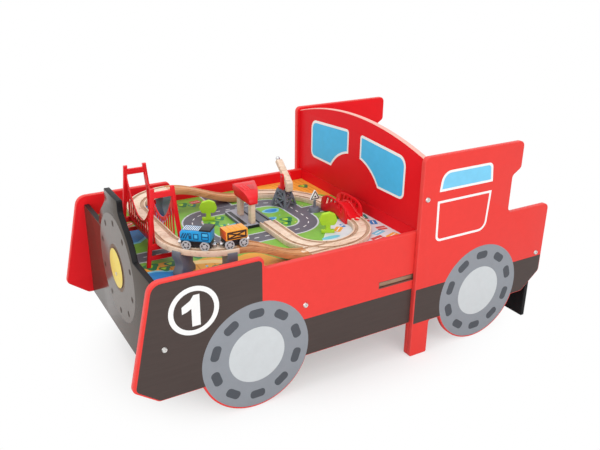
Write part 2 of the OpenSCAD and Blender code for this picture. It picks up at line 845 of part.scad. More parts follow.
// Station: platform, track bed, posts and a curved roof
station_x = branch_x - track_w/2 - station_gap;
station_w = 38;
station_y = branch_y + straight_len + station_gap;
station_len = 112;
station_h = 8;
bed_h = 4;
bed_rail = 2;
station_post_w = 11;
station_post_d = 16;
station_post_in = 6;
station_post_h = 48;
station_corner = 10;
module station_base() {
    color("slategray") translate([0, 0, tray_z]) {
        linear_extrude(station_h) polygon(rounded([
            [station_x - station_w, station_y, station_corner],
            [station_x, station_y, 0],
            [station_x, station_y + station_len, 0],
            [station_x - station_w, station_y + station_len, station_corner]
        ]));
        block(station_x - station_w/2, station_x + track_w + 2*station_gap,
            station_y, station_y + station_len, 0, bed_h);
        for (s = [-1, 1])
            block(branch_x + s*gauge/2 - bed_rail/2, branch_x + s*gauge/2 + bed_rail/2,
                station_y, station_y + station_len, bed_h, bed_h + bed_rail);
    }
}
station_post_shares = [0.045, 0.585];
module station_posts() {
    color("burlywood") for (share = station_post_shares)
        translate([station_x - station_post_in, station_y + station_len*share, tray_z + station_h])
            translate([-station_post_w, 0, 0]) cube([station_post_w, station_post_d, station_post_h]);
}
// The roof comes down to the near end in a round, and widens to the far end over the track
roof_left = 22;
roof_near_right = -2;
roof_mid_right = 18;
roof_far_right = 36;
roof_mid_share = 0.4;
roof_near_h = 4;
roof_far_h = 25;
roof_power = 3;
roof_shares = [0.02, 0.83];
roof_tip_share = 0.12;
roof_tip_h = 15;
roof_ribs = 3;
roof_rib_w = 2;
roof_rib_h = 0.8;
roof_rib_shares = [0.42, 0.75];
module roof_profile(u0, u1, up, tip) {
    y0 = station_y + station_len*roof_shares[0];
    span = station_len*(roof_shares[1] - roof_shares[0]);
    low = tray_z + station_h + station_post_h;
    polygon(concat(
        [[y0 + span*u1, low + tip], [y0 + span*(u1 - roof_tip_share), low], [y0 + span*u0, low]],
        [for (i = [0 : curve_steps])
            let(u = u0 + (u1 - u0)*i/curve_steps)
            [y0 + span*u, low + up + roof_near_h + (roof_far_h - roof_near_h)*sqrt(1 - pow(1 - u, roof_power))]]));
}
module station_roof() {
    left = station_x - roof_left;
    y0 = station_y + station_len*roof_shares[0];
    y1 = station_y + station_len*roof_shares[1];
    color("red") {
        intersection() {
            yz_board(left, roof_left + roof_far_right) roof_profile(0, 1, 0, roof_tip_h);
            linear_extrude(2*tray_z) polygon([
                [left, y0],
                [station_x + roof_near_right, y0],
                [station_x + roof_mid_right, y0 + (y1 - y0)*roof_mid_share],
                [station_x + roof_far_right, y1],
                [left, y1]
            ]);
        }
        for (i = [1 : roof_ribs])
            yz_board(left + roof_left*i/roof_ribs, roof_rib_w)
                roof_profile(roof_rib_shares[0], roof_rib_shares[1], roof_rib_h, 0);
    }
}

// Crane: lattice tower, slewing fork, luffing jib
crane_bearing = 43.5;
crane_clear = 5;
crane_from_bend = big_r - track_w/2 - crane_foot/sqrt(2) - crane_clear;
crane_x = wide_c.x + crane_from_bend*cos(crane_bearing);
crane_y = wide_c.y + crane_from_bend*sin(crane_bearing);
crane_turn = 24;
crane_wall = 4;
crane_leg = 5;
crane_cap = 5;
crane_pivot_d = 9;
crane_pivot_len = 12;
lattice_bar = 3;
lattice_rail = 3.5;
lattice_share = 0.52;
function frustum_face(low, high, z0, z1) = [[-low/2, z0], [low/2, z0], [high/2, z1], [-high/2, z1]];
module frustum(low, high, z0, z1) {
    intersection() {
        xz_board(low, 2*low) polygon(frustum_face(low, high, z0, z1));
        yz_board(-low, 2*low) polygon(frustum_face(low, high, z0, z1));
    }
}
// Openings of a side between its legs: two bays, each crossed by two braces
function bay_half(z) = (crane_foot + (crane_head_w - crane_foot)*z/crane_h)/2 - crane_leg;
module brace(a, b) {
    d = b - a;
    translate(a) rotate(atan2(d.y, d.x)) translate([-lattice_bar, -lattice_bar/2])
        square([norm(d) + 2*lattice_bar, lattice_bar]);
}
module lattice_bay(z0, z1) {
    difference() {
        polygon([[-bay_half(z0), z0], [bay_half(z0), z0], [bay_half(z1), z1], [-bay_half(z1), z1]]);
        for (s = [-1, 1]) brace([-s*bay_half(z0), z0], [s*bay_half(z1), z1]);
    }
}
module lattice_windows() {
    mid = crane_h*lattice_share;
    lattice_bay(-overrun, mid - lattice_rail/2);
    lattice_bay(mid + lattice_rail/2, crane_h - crane_cap - lattice_bar/2);
}
module crane_tower() {
    color("slategray") at(crane_x, crane_y, crane_turn) difference() {
        frustum(crane_foot, crane_head_w, 0, crane_h);
        frustum(crane_foot - 2*crane_wall, crane_head_w - 2*crane_wall, 0, crane_h - crane_cap);
        xz_board(crane_foot, 2*crane_foot) lattice_windows();
        yz_board(-crane_foot, 2*crane_foot) lattice_windows();
        translate([0, 0, crane_h - crane_pivot_len])
            cylinder(d = crane_pivot_d + 2*run_gap, h = crane_pivot_len + overrun);
    }
}
// The jib is a bent lever between the fork's cheeks, with a handle at the low end
jib_w = 16;
jib_t = 11;
jib_pin_d = 4;
jib_lean = 50;
jib_fore = 23;
jib_handle = 20;
jib_round = 3;
fork_base_t = 4;
fork_base_d = 28;
fork_gap = jib_w + 2*run_gap;
fork_t = 3.5;
fork_h = 36;
fork_w = 14;
fork_off = 10;
crane_top_z = tray_z + crane_h + seat_gap;
pin_z = crane_top_z + fork_base_t + fork_h - fork_w/2;
pin_y = crane_y - fork_off;
module crane_fork() {
    pin_up = fork_base_t + fork_h - fork_w/2;
    color("red") at(crane_x, crane_y, 0, crane_top_z) difference() {
        union() {
            cylinder(d = fork_base_d, h = fork_base_t);
            translate([0, 0, -crane_pivot_len + seat_gap + fit_gap])
                cylinder(d = crane_pivot_d, h = crane_pivot_len);
            for (s = [-1, 1]) yz_board(s*(fork_gap + fork_t)/2 - fork_t/2, fork_t) {
                translate([-fork_off - fork_w/2, 0]) square([fork_w, pin_up]);
                translate([-fork_off, pin_up]) circle(d = fork_w);
            }
        }
        translate([0, -fork_off, pin_up]) bar_x(jib_pin_d + 2*fit_gap, fork_gap + 2*fork_t + 2*overrun);
    }
}
module bar_x(d, len) {
    rotate([0, 0, 90]) bar_y(d, len);
}
module crane_pin() {
    color("silver") translate([crane_x, pin_y, pin_z]) bar_x(jib_pin_d, fork_gap + 2*fork_t);
}
module at_jib_tip() {
    translate([crane_x, pin_y, pin_z]) rotate([-jib_lean, 0, 0]) translate([0, 0, jib_arm]) children();
}
module crane_jib() {
    d = [sin(jib_lean), cos(jib_lean)];
    n = jib_t/2*[-d.y, d.x];
    tip = jib_arm*d;
    hang = -jib_fore*d;
    front = hang.x - jib_t/2;
    back = hang.x + jib_t/2;
    color("wheat") difference() {
        translate([crane_x, pin_y, pin_z]) yz_board(-jib_w/2, jib_w) polygon(rounded([
            [tip.x + n.x, tip.y + n.y, jib_round],
            [front, n.y + (front - n.x)*d.y/d.x, 2*jib_round],
            [front, hang.y - jib_handle, jib_round],
            [back, hang.y - jib_handle, jib_round],
            [back, -n.y + (back + n.x)*d.y/d.x, jib_round],
            [tip.x - n.x, tip.y - n.y, jib_round]
        ]));
        translate([crane_x, pin_y, pin_z]) bar_x(jib_pin_d + 2*run_gap, jib_w + 2*overrun);
        at_jib_tip() translate([0, 0, -bead_peg]) cylinder(d = jib_pin_d + 2*fit_gap, h = bead_peg + overrun);
    }
}
bead_d = 10;
bead_peg = 8;
bead_end_share = 0.6;
module crane_bead() {
    color("silver") at_jib_tip() {
        translate([0, 0, -bead_peg + fit_gap]) cylinder(d = jib_pin_d, h = bead_peg + bead_d/4);
        cylinder(d1 = bead_d*bead_end_share, d2 = bead_d, h = bead_d/4);
        translate([0, 0, bead_d/4]) cylinder(d = bead_d, h = bead_d/2);
        translate([0, 0, 3*bead_d/4]) cylinder(d1 = bead_d, d2 = bead_d*bead_end_share, h = bead_d/4);
    }
}

// Warning sign
sign_base_d = 30;
sign_bearing = 0;
sign_clear = 7;
sign_from_bend = big_r - track_w/2 - sign_base_d/2 - sign_clear;
sign_x = wide_c.x + sign_from_bend*cos(sign_bearing);
sign_y = wide_c.y + sign_from_bend*sin(sign_bearing);
sign_base_h = 10;
sign_taper_share = 0.8;
sign_post = 5;
sign_post_h = 20;
sign_side = 30;
sign_t = 4;
sign_gap = 0.1;
module sign_stand() {
    color("slategray") translate([sign_x, sign_y, tray_z]) difference() {
        union() {
            cylinder(d1 = sign_base_d, d2 = sign_base_d*sign_taper_share, h = sign_base_h);
            translate([-sign_post/2, -sign_post/2, 0])
                cube([sign_post, sign_post, sign_base_h + sign_post_h]);
        }
        sign_slot(sign_gap);
    }
}
module sign_slot(gap) {
    low = sign_base_h + sign_post_h - sign_post;
    translate([-sign_post, -sign_t/4 - gap, low - gap]) cube([2*sign_post, sign_t/2 + 2*gap, 2*sign_post]);
}
module sign_plate() {
    low = sign_base_h + sign_post_h;
    tall = sign_side*sqrt(3)/2;
    color("white") translate([sign_x, sign_y, tray_z]) {
        xz_board(sign_t/2, sign_t) polygon(rounded([
            [-sign_side/2, low, sign_t/2], [sign_side/2, low, sign_t/2], [0, low + tall, sign_t/2]]));
        translate([-sign_post/2, -sign_t/4, low - sign_post])
            cube([sign_post, sign_t/2, sign_post + sign_t]);
    }
}

// Trees cut from board
tree_t = 10;
tree_h = 50;
tree_w = 42;
tree_foot_w = 30;
tree_trunk_w = 11;
tree_front_share = 0.58;
tree_front_up = 10;
tree_front_x = far_c.x + (station_x - station_w - far_c.x)*tree_front_share;
tree_rear_in = [19, -20];
tree_front_turn = -20;
tree_rear_turn = -25;
tree_crown_share = 0.64;
tree_foot_share = 0.14;
tree_crown_shares = [
    [-0.36, 0.02], [0.36, 0.02], [0.5, 0.38], [0.38, 0.82], [0.06, 1], [-0.34, 0.86], [-0.5, 0.42]
];
module tree() {
    low = tree_h*(1 - tree_crown_share);
    xz_board(tree_t/2, tree_t) {
        polygon(rounded([for (s = tree_crown_shares)
            [s.x*tree_w, low + s.y*tree_h*tree_crown_share, tree_w/7]]));
        translate([-tree_trunk_w/2, 0]) square([tree_trunk_w, low + tree_h*tree_foot_share]);
        polygon(rounded([[-tree_foot_w/2, 0, 0], [tree_foot_w/2, 0, 0],
            [tree_foot_w/2, tree_h*tree_foot_share, leg_round/2],
            [-tree_foot_w/2, tree_h*tree_foot_share, leg_round/2]]));
    }
}
module tree_front() {
    color("yellowgreen") at(tree_front_x, far_c.y + tree_front_up, tree_front_turn) tree();
}
module tree_rear() {
    color("yellowgreen") at(right_c.x + tree_rear_in.x, right_c.y + tree_rear_in.y, tree_rear_turn) tree();
}

// Train: each vehicle heads along +X, its wheels on the grooves' floor
groove_z = raised_z + track_h - groove_d;
axle_z = groove_z + seat_gap + train_wheel_d/2;
loco_base = 37;
wagon_base = 30;
chassis_w = 20;
chassis_gap = 3;
chassis_z = raised_z + track_h + chassis_gap;
body_z = axle_z + train_wheel_d/2 + 2*seat_gap;
hood_h = 20;
cab_h = 22;
cab_len = 19;
cab_roof_t = 4;
cab_roof_over = 1.5;
hood_round = 4;
louvres = 9;
louvre_w_share = 0.45;
louvre_h = 1.6;
wagon_h = 19;
plank_d = 0.8;
planks = 4;
link_d = 9;
link_len = 5;
link_stub_d = 4;
link_stub_len = 3;
link_z = chassis_z + link_d/2;
// How far a vehicle sits inside the curve so that its wheels stay in the grooves
function inset(base) = (base*base/4 + train_wheel_d*train_wheel_d/9)/2/bend_r;

// The locomotive stands ahead of the wagon so that the links nearly touch
link_room = 3.5;
link_reach = link_stub_len + link_len + link_room;
loco_turn = wagon_turn + atan((loco_len/2 + link_reach)/bend_r) + atan((wagon_len/2 + link_reach)/bend_r);

module in_loco() { on_near_curve(loco_turn, inset(loco_base)) children(); }
module in_wagon() { on_near_curve(wagon_turn, inset(wagon_base)) children(); }
module chassis(len, base) {
    difference() {
        block(-len/2, len/2, -chassis_w/2, chassis_w/2, chassis_z, body_z);
        for (s = [-1, 1]) translate([s*base/2, 0, axle_z]) bar_y(axle_d + 2*run_gap, chassis_w + 2*overrun);
        for (s = [-1, 1]) translate([s*(len/2 - link_stub_len), 0, link_z]) rotate([0, 90, 0])
            cylinder(d = link_stub_d + 2*fit_gap, h = 2*link_stub_len + overrun, center = true);
    }
}
hub_share = 0.42;
rim_share = 0.76;
module wheelset(x) {
    hub = train_wheel_d*hub_share;
    translate([x, 0, axle_z]) {
        bar_y(axle_d, gauge + train_wheel_t);
        for (s = [-1, 1]) translate([0, s*gauge/2, 0]) difference() {
            bar_y(train_wheel_d, train_wheel_t);
            translate([0, s*train_wheel_t/2, 0]) difference() {
                bar_y(train_wheel_d*rim_share, train_wheel_t/3);
                bar_y(hub, train_wheel_t);
            }
        }
    }
}
module links(len) {
    for (s = [-1, 1]) translate([s*len/2, 0, link_z]) rotate([0, s*90, 0]) {
        translate([0, 0, -2*link_stub_len + fit_gap]) cylinder(d = link_stub_d, h = 3*link_stub_len);
        translate([0, 0, link_stub_len]) cylinder(d = link_d, h = link_len);
    }
}
module loco_body() {
    half = loco_len/2;
    color("dodgerblue") in_loco() {
        xz_board(train_w/2, train_w) polygon(rounded([
            [-half, body_z, 0], [half, body_z, 0], [half, body_z + hood_h, hood_round],
            [cab_len - half, body_z + hood_h, 0],
            [cab_len - half, body_z + cab_h, 0],
            [-half, body_z + cab_h, 0]
        ]));
        span = loco_len - cab_len - 2*hood_round;
        for (i = [0 : louvres - 1])
            block(cab_len - half + hood_round + span*(i + 0.5 - louvre_w_share/2)/louvres,
                cab_len - half + hood_round + span*(i + 0.5 + louvre_w_share/2)/louvres,
                -train_w/2 + hood_round, train_w/2 - hood_round, body_z + hood_h, body_z + hood_h + louvre_h);
    }
}
module loco_roof() {
    half = loco_len/2;
    top = body_z + cab_h + cab_roof_t;
    color("dimgray") in_loco() xz_board(train_w/2 + cab_roof_over, train_w + 2*cab_roof_over)
        polygon(rounded([
            [-half - cab_roof_over, body_z + cab_h, 0],
            [cab_len - half + cab_roof_over, body_z + cab_h, 0],
            [cab_len - half + cab_roof_over, top, cab_roof_over],
            [-half - cab_roof_over, top, cab_roof_over]
        ]));
}
module loco_chassis() { color("dimgray") in_loco() chassis(loco_len, loco_base); }
module loco_axle_front() { color("silver") in_loco() wheelset(loco_base/2); }
module loco_axle_rear() { color("silver") in_loco() wheelset(-loco_base/2); }
module loco_links() { color("silver") in_loco() links(loco_len); }
module wagon_body() {
    half = wagon_len/2;
    color("orange") in_wagon() difference() {
        block(-half, half, -train_w/2, train_w/2, body_z, body_z + wagon_h);
        for (i = [1 : planks - 1])
            block(-half + wagon_len*i/planks - plank_d/2, -half + wagon_len*i/planks + plank_d/2,
                -train_w/2 - overrun, train_w/2 + overrun,
                body_z + wagon_h - plank_d, body_z + wagon_h + overrun);
    }
}
module wagon_chassis() { color("dimgray") in_wagon() chassis(wagon_len, wagon_base); }
module wagon_axle_front() { color("silver") in_wagon() wheelset(wagon_base/2); }
module wagon_axle_rear() { color("silver") in_wagon() wheelset(-wagon_base/2); }
module wagon_links() { color("silver") in_wagon() links(wagon_len); }

front_side_left();
front_side_right();
cabin_side_left();
cabin_side_right();
front_panel();
lamp_disc();
lamp_screw();
windscreen_panel();
tray_end_board();
cross_board();
front_trestle();
rear_trestle();
seat_board();
tray_board();
tray_batten_left();
tray_batten_right();
tray_battens_cross();
panel_bolts();
barrel_nuts();
panel_dowels();
track_ramp_near();
track_curve_near();
bridge_deck();
track_curve_far();
track_ramp_rear();
track_curve_rear();
track_curve_right();
track_switch();
track_straight();
bridge_tower_near();
bridge_tower_far();
bridge_cable_front();
bridge_cable_rear();
pier_curve();
pier_ramp();
pier_far();
arch_bridge();
station_base();
station_posts();
station_roof();
crane_tower();
crane_fork();
crane_pin();
crane_jib();
crane_bead();
sign_stand();
sign_plate();
tree_front();
tree_rear();
loco_body();
loco_roof();
loco_chassis();
loco_axle_front();
loco_axle_rear();
loco_links();
wagon_body();
wagon_chassis();
wagon_axle_front();
wagon_axle_rear();
wagon_links();
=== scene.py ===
import json
import math

import bmesh
import bpy
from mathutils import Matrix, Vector
from mathutils.geometry import tessellate_polygon

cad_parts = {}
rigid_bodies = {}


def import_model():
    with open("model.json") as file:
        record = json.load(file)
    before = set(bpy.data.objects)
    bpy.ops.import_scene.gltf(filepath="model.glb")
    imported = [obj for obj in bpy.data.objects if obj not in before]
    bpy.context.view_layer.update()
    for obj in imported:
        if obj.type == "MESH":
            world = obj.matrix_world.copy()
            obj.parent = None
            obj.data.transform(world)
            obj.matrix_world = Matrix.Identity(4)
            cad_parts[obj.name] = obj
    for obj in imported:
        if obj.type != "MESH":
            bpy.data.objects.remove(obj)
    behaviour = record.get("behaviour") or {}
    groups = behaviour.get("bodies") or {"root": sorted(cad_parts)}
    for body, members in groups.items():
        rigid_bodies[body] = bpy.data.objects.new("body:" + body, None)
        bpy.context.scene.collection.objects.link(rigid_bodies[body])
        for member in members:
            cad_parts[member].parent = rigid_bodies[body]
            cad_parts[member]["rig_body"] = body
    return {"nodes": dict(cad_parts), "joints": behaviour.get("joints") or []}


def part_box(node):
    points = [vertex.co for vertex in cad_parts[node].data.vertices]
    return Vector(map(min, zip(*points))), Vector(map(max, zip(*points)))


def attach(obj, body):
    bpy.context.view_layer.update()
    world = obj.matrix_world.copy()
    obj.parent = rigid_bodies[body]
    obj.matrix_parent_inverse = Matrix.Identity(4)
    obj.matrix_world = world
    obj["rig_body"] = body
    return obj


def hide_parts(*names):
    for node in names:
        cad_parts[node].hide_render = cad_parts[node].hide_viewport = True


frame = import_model()
NODES = frame["nodes"]
JOINTS = {joint["name"]: joint for joint in frame["joints"]}
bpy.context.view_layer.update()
scene = bpy.context.scene
MM = 0.001
X, Y, Z = (1, 0, 0), (0, 1, 0), (0, 0, 1)
LEFT, FRONT = (0, -1, 0), (-1, 0, 0)


def corners(node):
    """The low and the high corner of a node's box, in millimetres."""
    return [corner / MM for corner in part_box(node)]


# Faces of the boards that carry prints or bound them, in millimetres
CABIN_Y = -corners("cabin_side_left")[0].y
SIDE_Y = -corners("front_side_left")[0].y
INNER_Y = -corners("front_side_left")[1].y
PANEL_X, PANEL_BACK_X = [corner.x for corner in corners("front_panel")]
SCREEN_X = corners("windscreen_panel")[0].x
TRAY_Z = corners("tray_board")[1].z

# Materials: noise scales in cells for each metre, bump depths in metres, the stops of a soft ramp
CLOUD, STREAK, PEEL, PEEL_DEPTH = 7.0, 60.0, 420.0, 0.0004
BAND, FLECK, FLECK_DEPTH = 26.0, 190.0, 0.0003
FLOW, PORE, PORE_DEPTH = 14.0, 1500.0, 0.0001
MARK, BLOTCH, MARK_DEPTH = 900.0, 120.0, 0.0002
LOW_STOP, HIGH_STOP = 0.3, 0.7
BLANK = (1.0, 1.0, 1.0)

# Sockets of a colour mix
MIX_SHARE, MIX_A, MIX_B, MIX_COLOUR = 0, 6, 7, 2


class Net:
    """Short calls for the nodes and links of one node tree."""

    def __init__(self, tree):
        self.tree = tree

    def put(self, socket, value):
        if isinstance(value, bpy.types.NodeSocket):
            self.tree.links.new(value, socket)
        else:
            socket.default_value = value

    def node(self, kind, inputs, **settings):
        """A new node with its settings; each input gets a value or a link."""
        made = self.tree.nodes.new("ShaderNode" + kind)
        for name, value in settings.items():
            setattr(made, name, value)
        for key, value in inputs.items():
            self.put(made.inputs[key], value)
        return made

    def coords(self, scale=BLANK, turn=0.0):
        """The object's own coordinates, turned about Z and scaled."""
        place = self.node("TexCoord", {}).outputs["Object"]
        inputs = {"Vector": place, "Scale": scale, "Rotation": (0.0, 0.0, turn)}
        return self.node("Mapping", inputs).outputs["Vector"]

    def noise(self, scale, detail, vector=None, rough=0.5):
        inputs = {"Vector": vector or self.coords(), "Scale": scale, "Detail": detail, "Roughness": rough}
        return self.node("TexNoise", inputs).outputs["Fac"]

    def ramp(self, fac, stops):
        """A colour ramp; each stop is a place and a colour."""
        made = self.node("ValToRGB", {"Fac": fac})
        elements = made.color_ramp.elements
        while len(elements) < len(stops):
            elements.new(0.5)
        for element, (place, colour) in zip(elements, stops):
            element.position = place
            element.color = (*colour, 1.0)
        return made.outputs["Color"]

    def span(self, fac, low, high):
        return self.node("MapRange", {"Value": fac, "To Min": low, "To Max": high}).outputs["Result"]

    def mix(self, share, a, b, kind="MIX"):
        inputs = {MIX_SHARE: share, MIX_A: a, MIX_B: b}
        return self.node("Mix", inputs, data_type="RGBA", blend_type=kind).outputs[MIX_COLOUR]


class Finish(Net):
    """The node tree of a new material, with its shader."""

    def __init__(self, name):
        self.mat = bpy.data.materials.new(name)
        self.mat.use_nodes = True
        super().__init__(self.mat.node_tree)
        self.shader = self.tree.nodes["Principled BSDF"]

    def shade(self, inputs):
        for name, value in inputs.items():
            self.put(self.shader.inputs[name], value)

    def bump(self, height, strength, distance):
        made = self.node("Bump", {"Height": height, "Strength": strength, "Distance": distance})
        self.shade({"Normal": made.outputs["Normal"]})


def tone(colour, share):
    return tuple(min(1.0, max(0.0, c * share)) for c in colour)


def painted(name, colour, rough=0.36, spread=0.06, peel=0.10, coat=0.0, grain=BLANK, spec=0.25, ior=1.5):
    """Sprayed or printed board: soft mottling, faint fibre streaks, orange peel."""
    net = Finish(name)
    cloud = net.noise(CLOUD, 4.0)
    streak = net.noise(STREAK, 3.0, net.coords(grain), 0.6)
    pale = tone(colour, 1.0 + spread)
    base = net.ramp(cloud, [(LOW_STOP, tone(colour, 1.0 - spread)), (HIGH_STOP, pale)])
    worn = net.ramp(streak, [(0.35, tone(colour, 1.0 - 1.6 * spread)), (0.65, pale)])
    net.shade({
        "Base Color": net.mix(0.4, (*colour, 1.0), net.mix(0.5, base, worn)),
        "Roughness": net.span(streak, rough - 0.05, rough + 0.07),
        "Specular IOR Level": spec,
        "IOR": ior,
    })
    if coat:
        net.shade({"Coat Weight": coat, "Coat Roughness": 0.12})
    net.bump(net.noise(PEEL, 2.0), peel, PEEL_DEPTH)
    return net.mat


def wooden(name, light, dark, turn=0.0, rough=0.5):
    """Sanded beech: long grain bands, short dark flecks, open pores."""
    net = Finish(name)
    bands = net.noise(BAND, 5.0, net.coords((0.25, 2.2, 2.2), turn), 0.6)
    flecks = net.noise(FLECK, 2.0, net.coords((0.16, 1.0, 1.0), turn), 0.7)
    base = net.ramp(bands, [(0.30, dark), (0.52, tone(light, 0.94)), (0.70, light)])
    spots = net.ramp(flecks, [(0.30, tone(dark, 0.72)), (0.44, BLANK), (1.0, BLANK)])
    net.shade({
        "Base Color": net.mix(0.55, base, spots, "MULTIPLY"),
        "Roughness": net.span(bands, rough - 0.06, rough + 0.1),
    })
    net.bump(flecks, 0.12, FLECK_DEPTH)
    return net.mat


def moulded(name, colour, rough, spread=0.05, spec=0.4):
    """Moulded plastic: even colour, flow marks, fine texture."""
    net = Finish(name)
    flow = net.noise(FLOW, 3.0)
    stops = [(LOW_STOP, tone(colour, 1.0 - spread)), (HIGH_STOP, tone(colour, 1.0 + spread))]
    net.shade({
        "Base Color": net.ramp(flow, stops),
        "Roughness": net.span(flow, rough - 0.05, rough + 0.06),
        "Specular IOR Level": spec,
    })
    net.bump(net.noise(PORE, 2.0), 0.03, PORE_DEPTH)
    return net.mat


def metal(name, colour, rough, scratch=0.08):
    """Plated or turned metal with fine turning marks."""
    net = Finish(name)
    marks = net.noise(MARK, 2.0, net.coords((1.0, 0.2, 1.0)))
    net.shade({
        "Base Color": net.ramp(net.noise(BLOTCH, 3.0), [(LOW_STOP, tone(colour, 0.86)), (HIGH_STOP, colour)]),
        "Metallic": 1.0,
        "Roughness": net.span(marks, rough - 0.06, rough + 0.12),
    })
    net.bump(marks, scratch, MARK_DEPTH)
    return net.mat


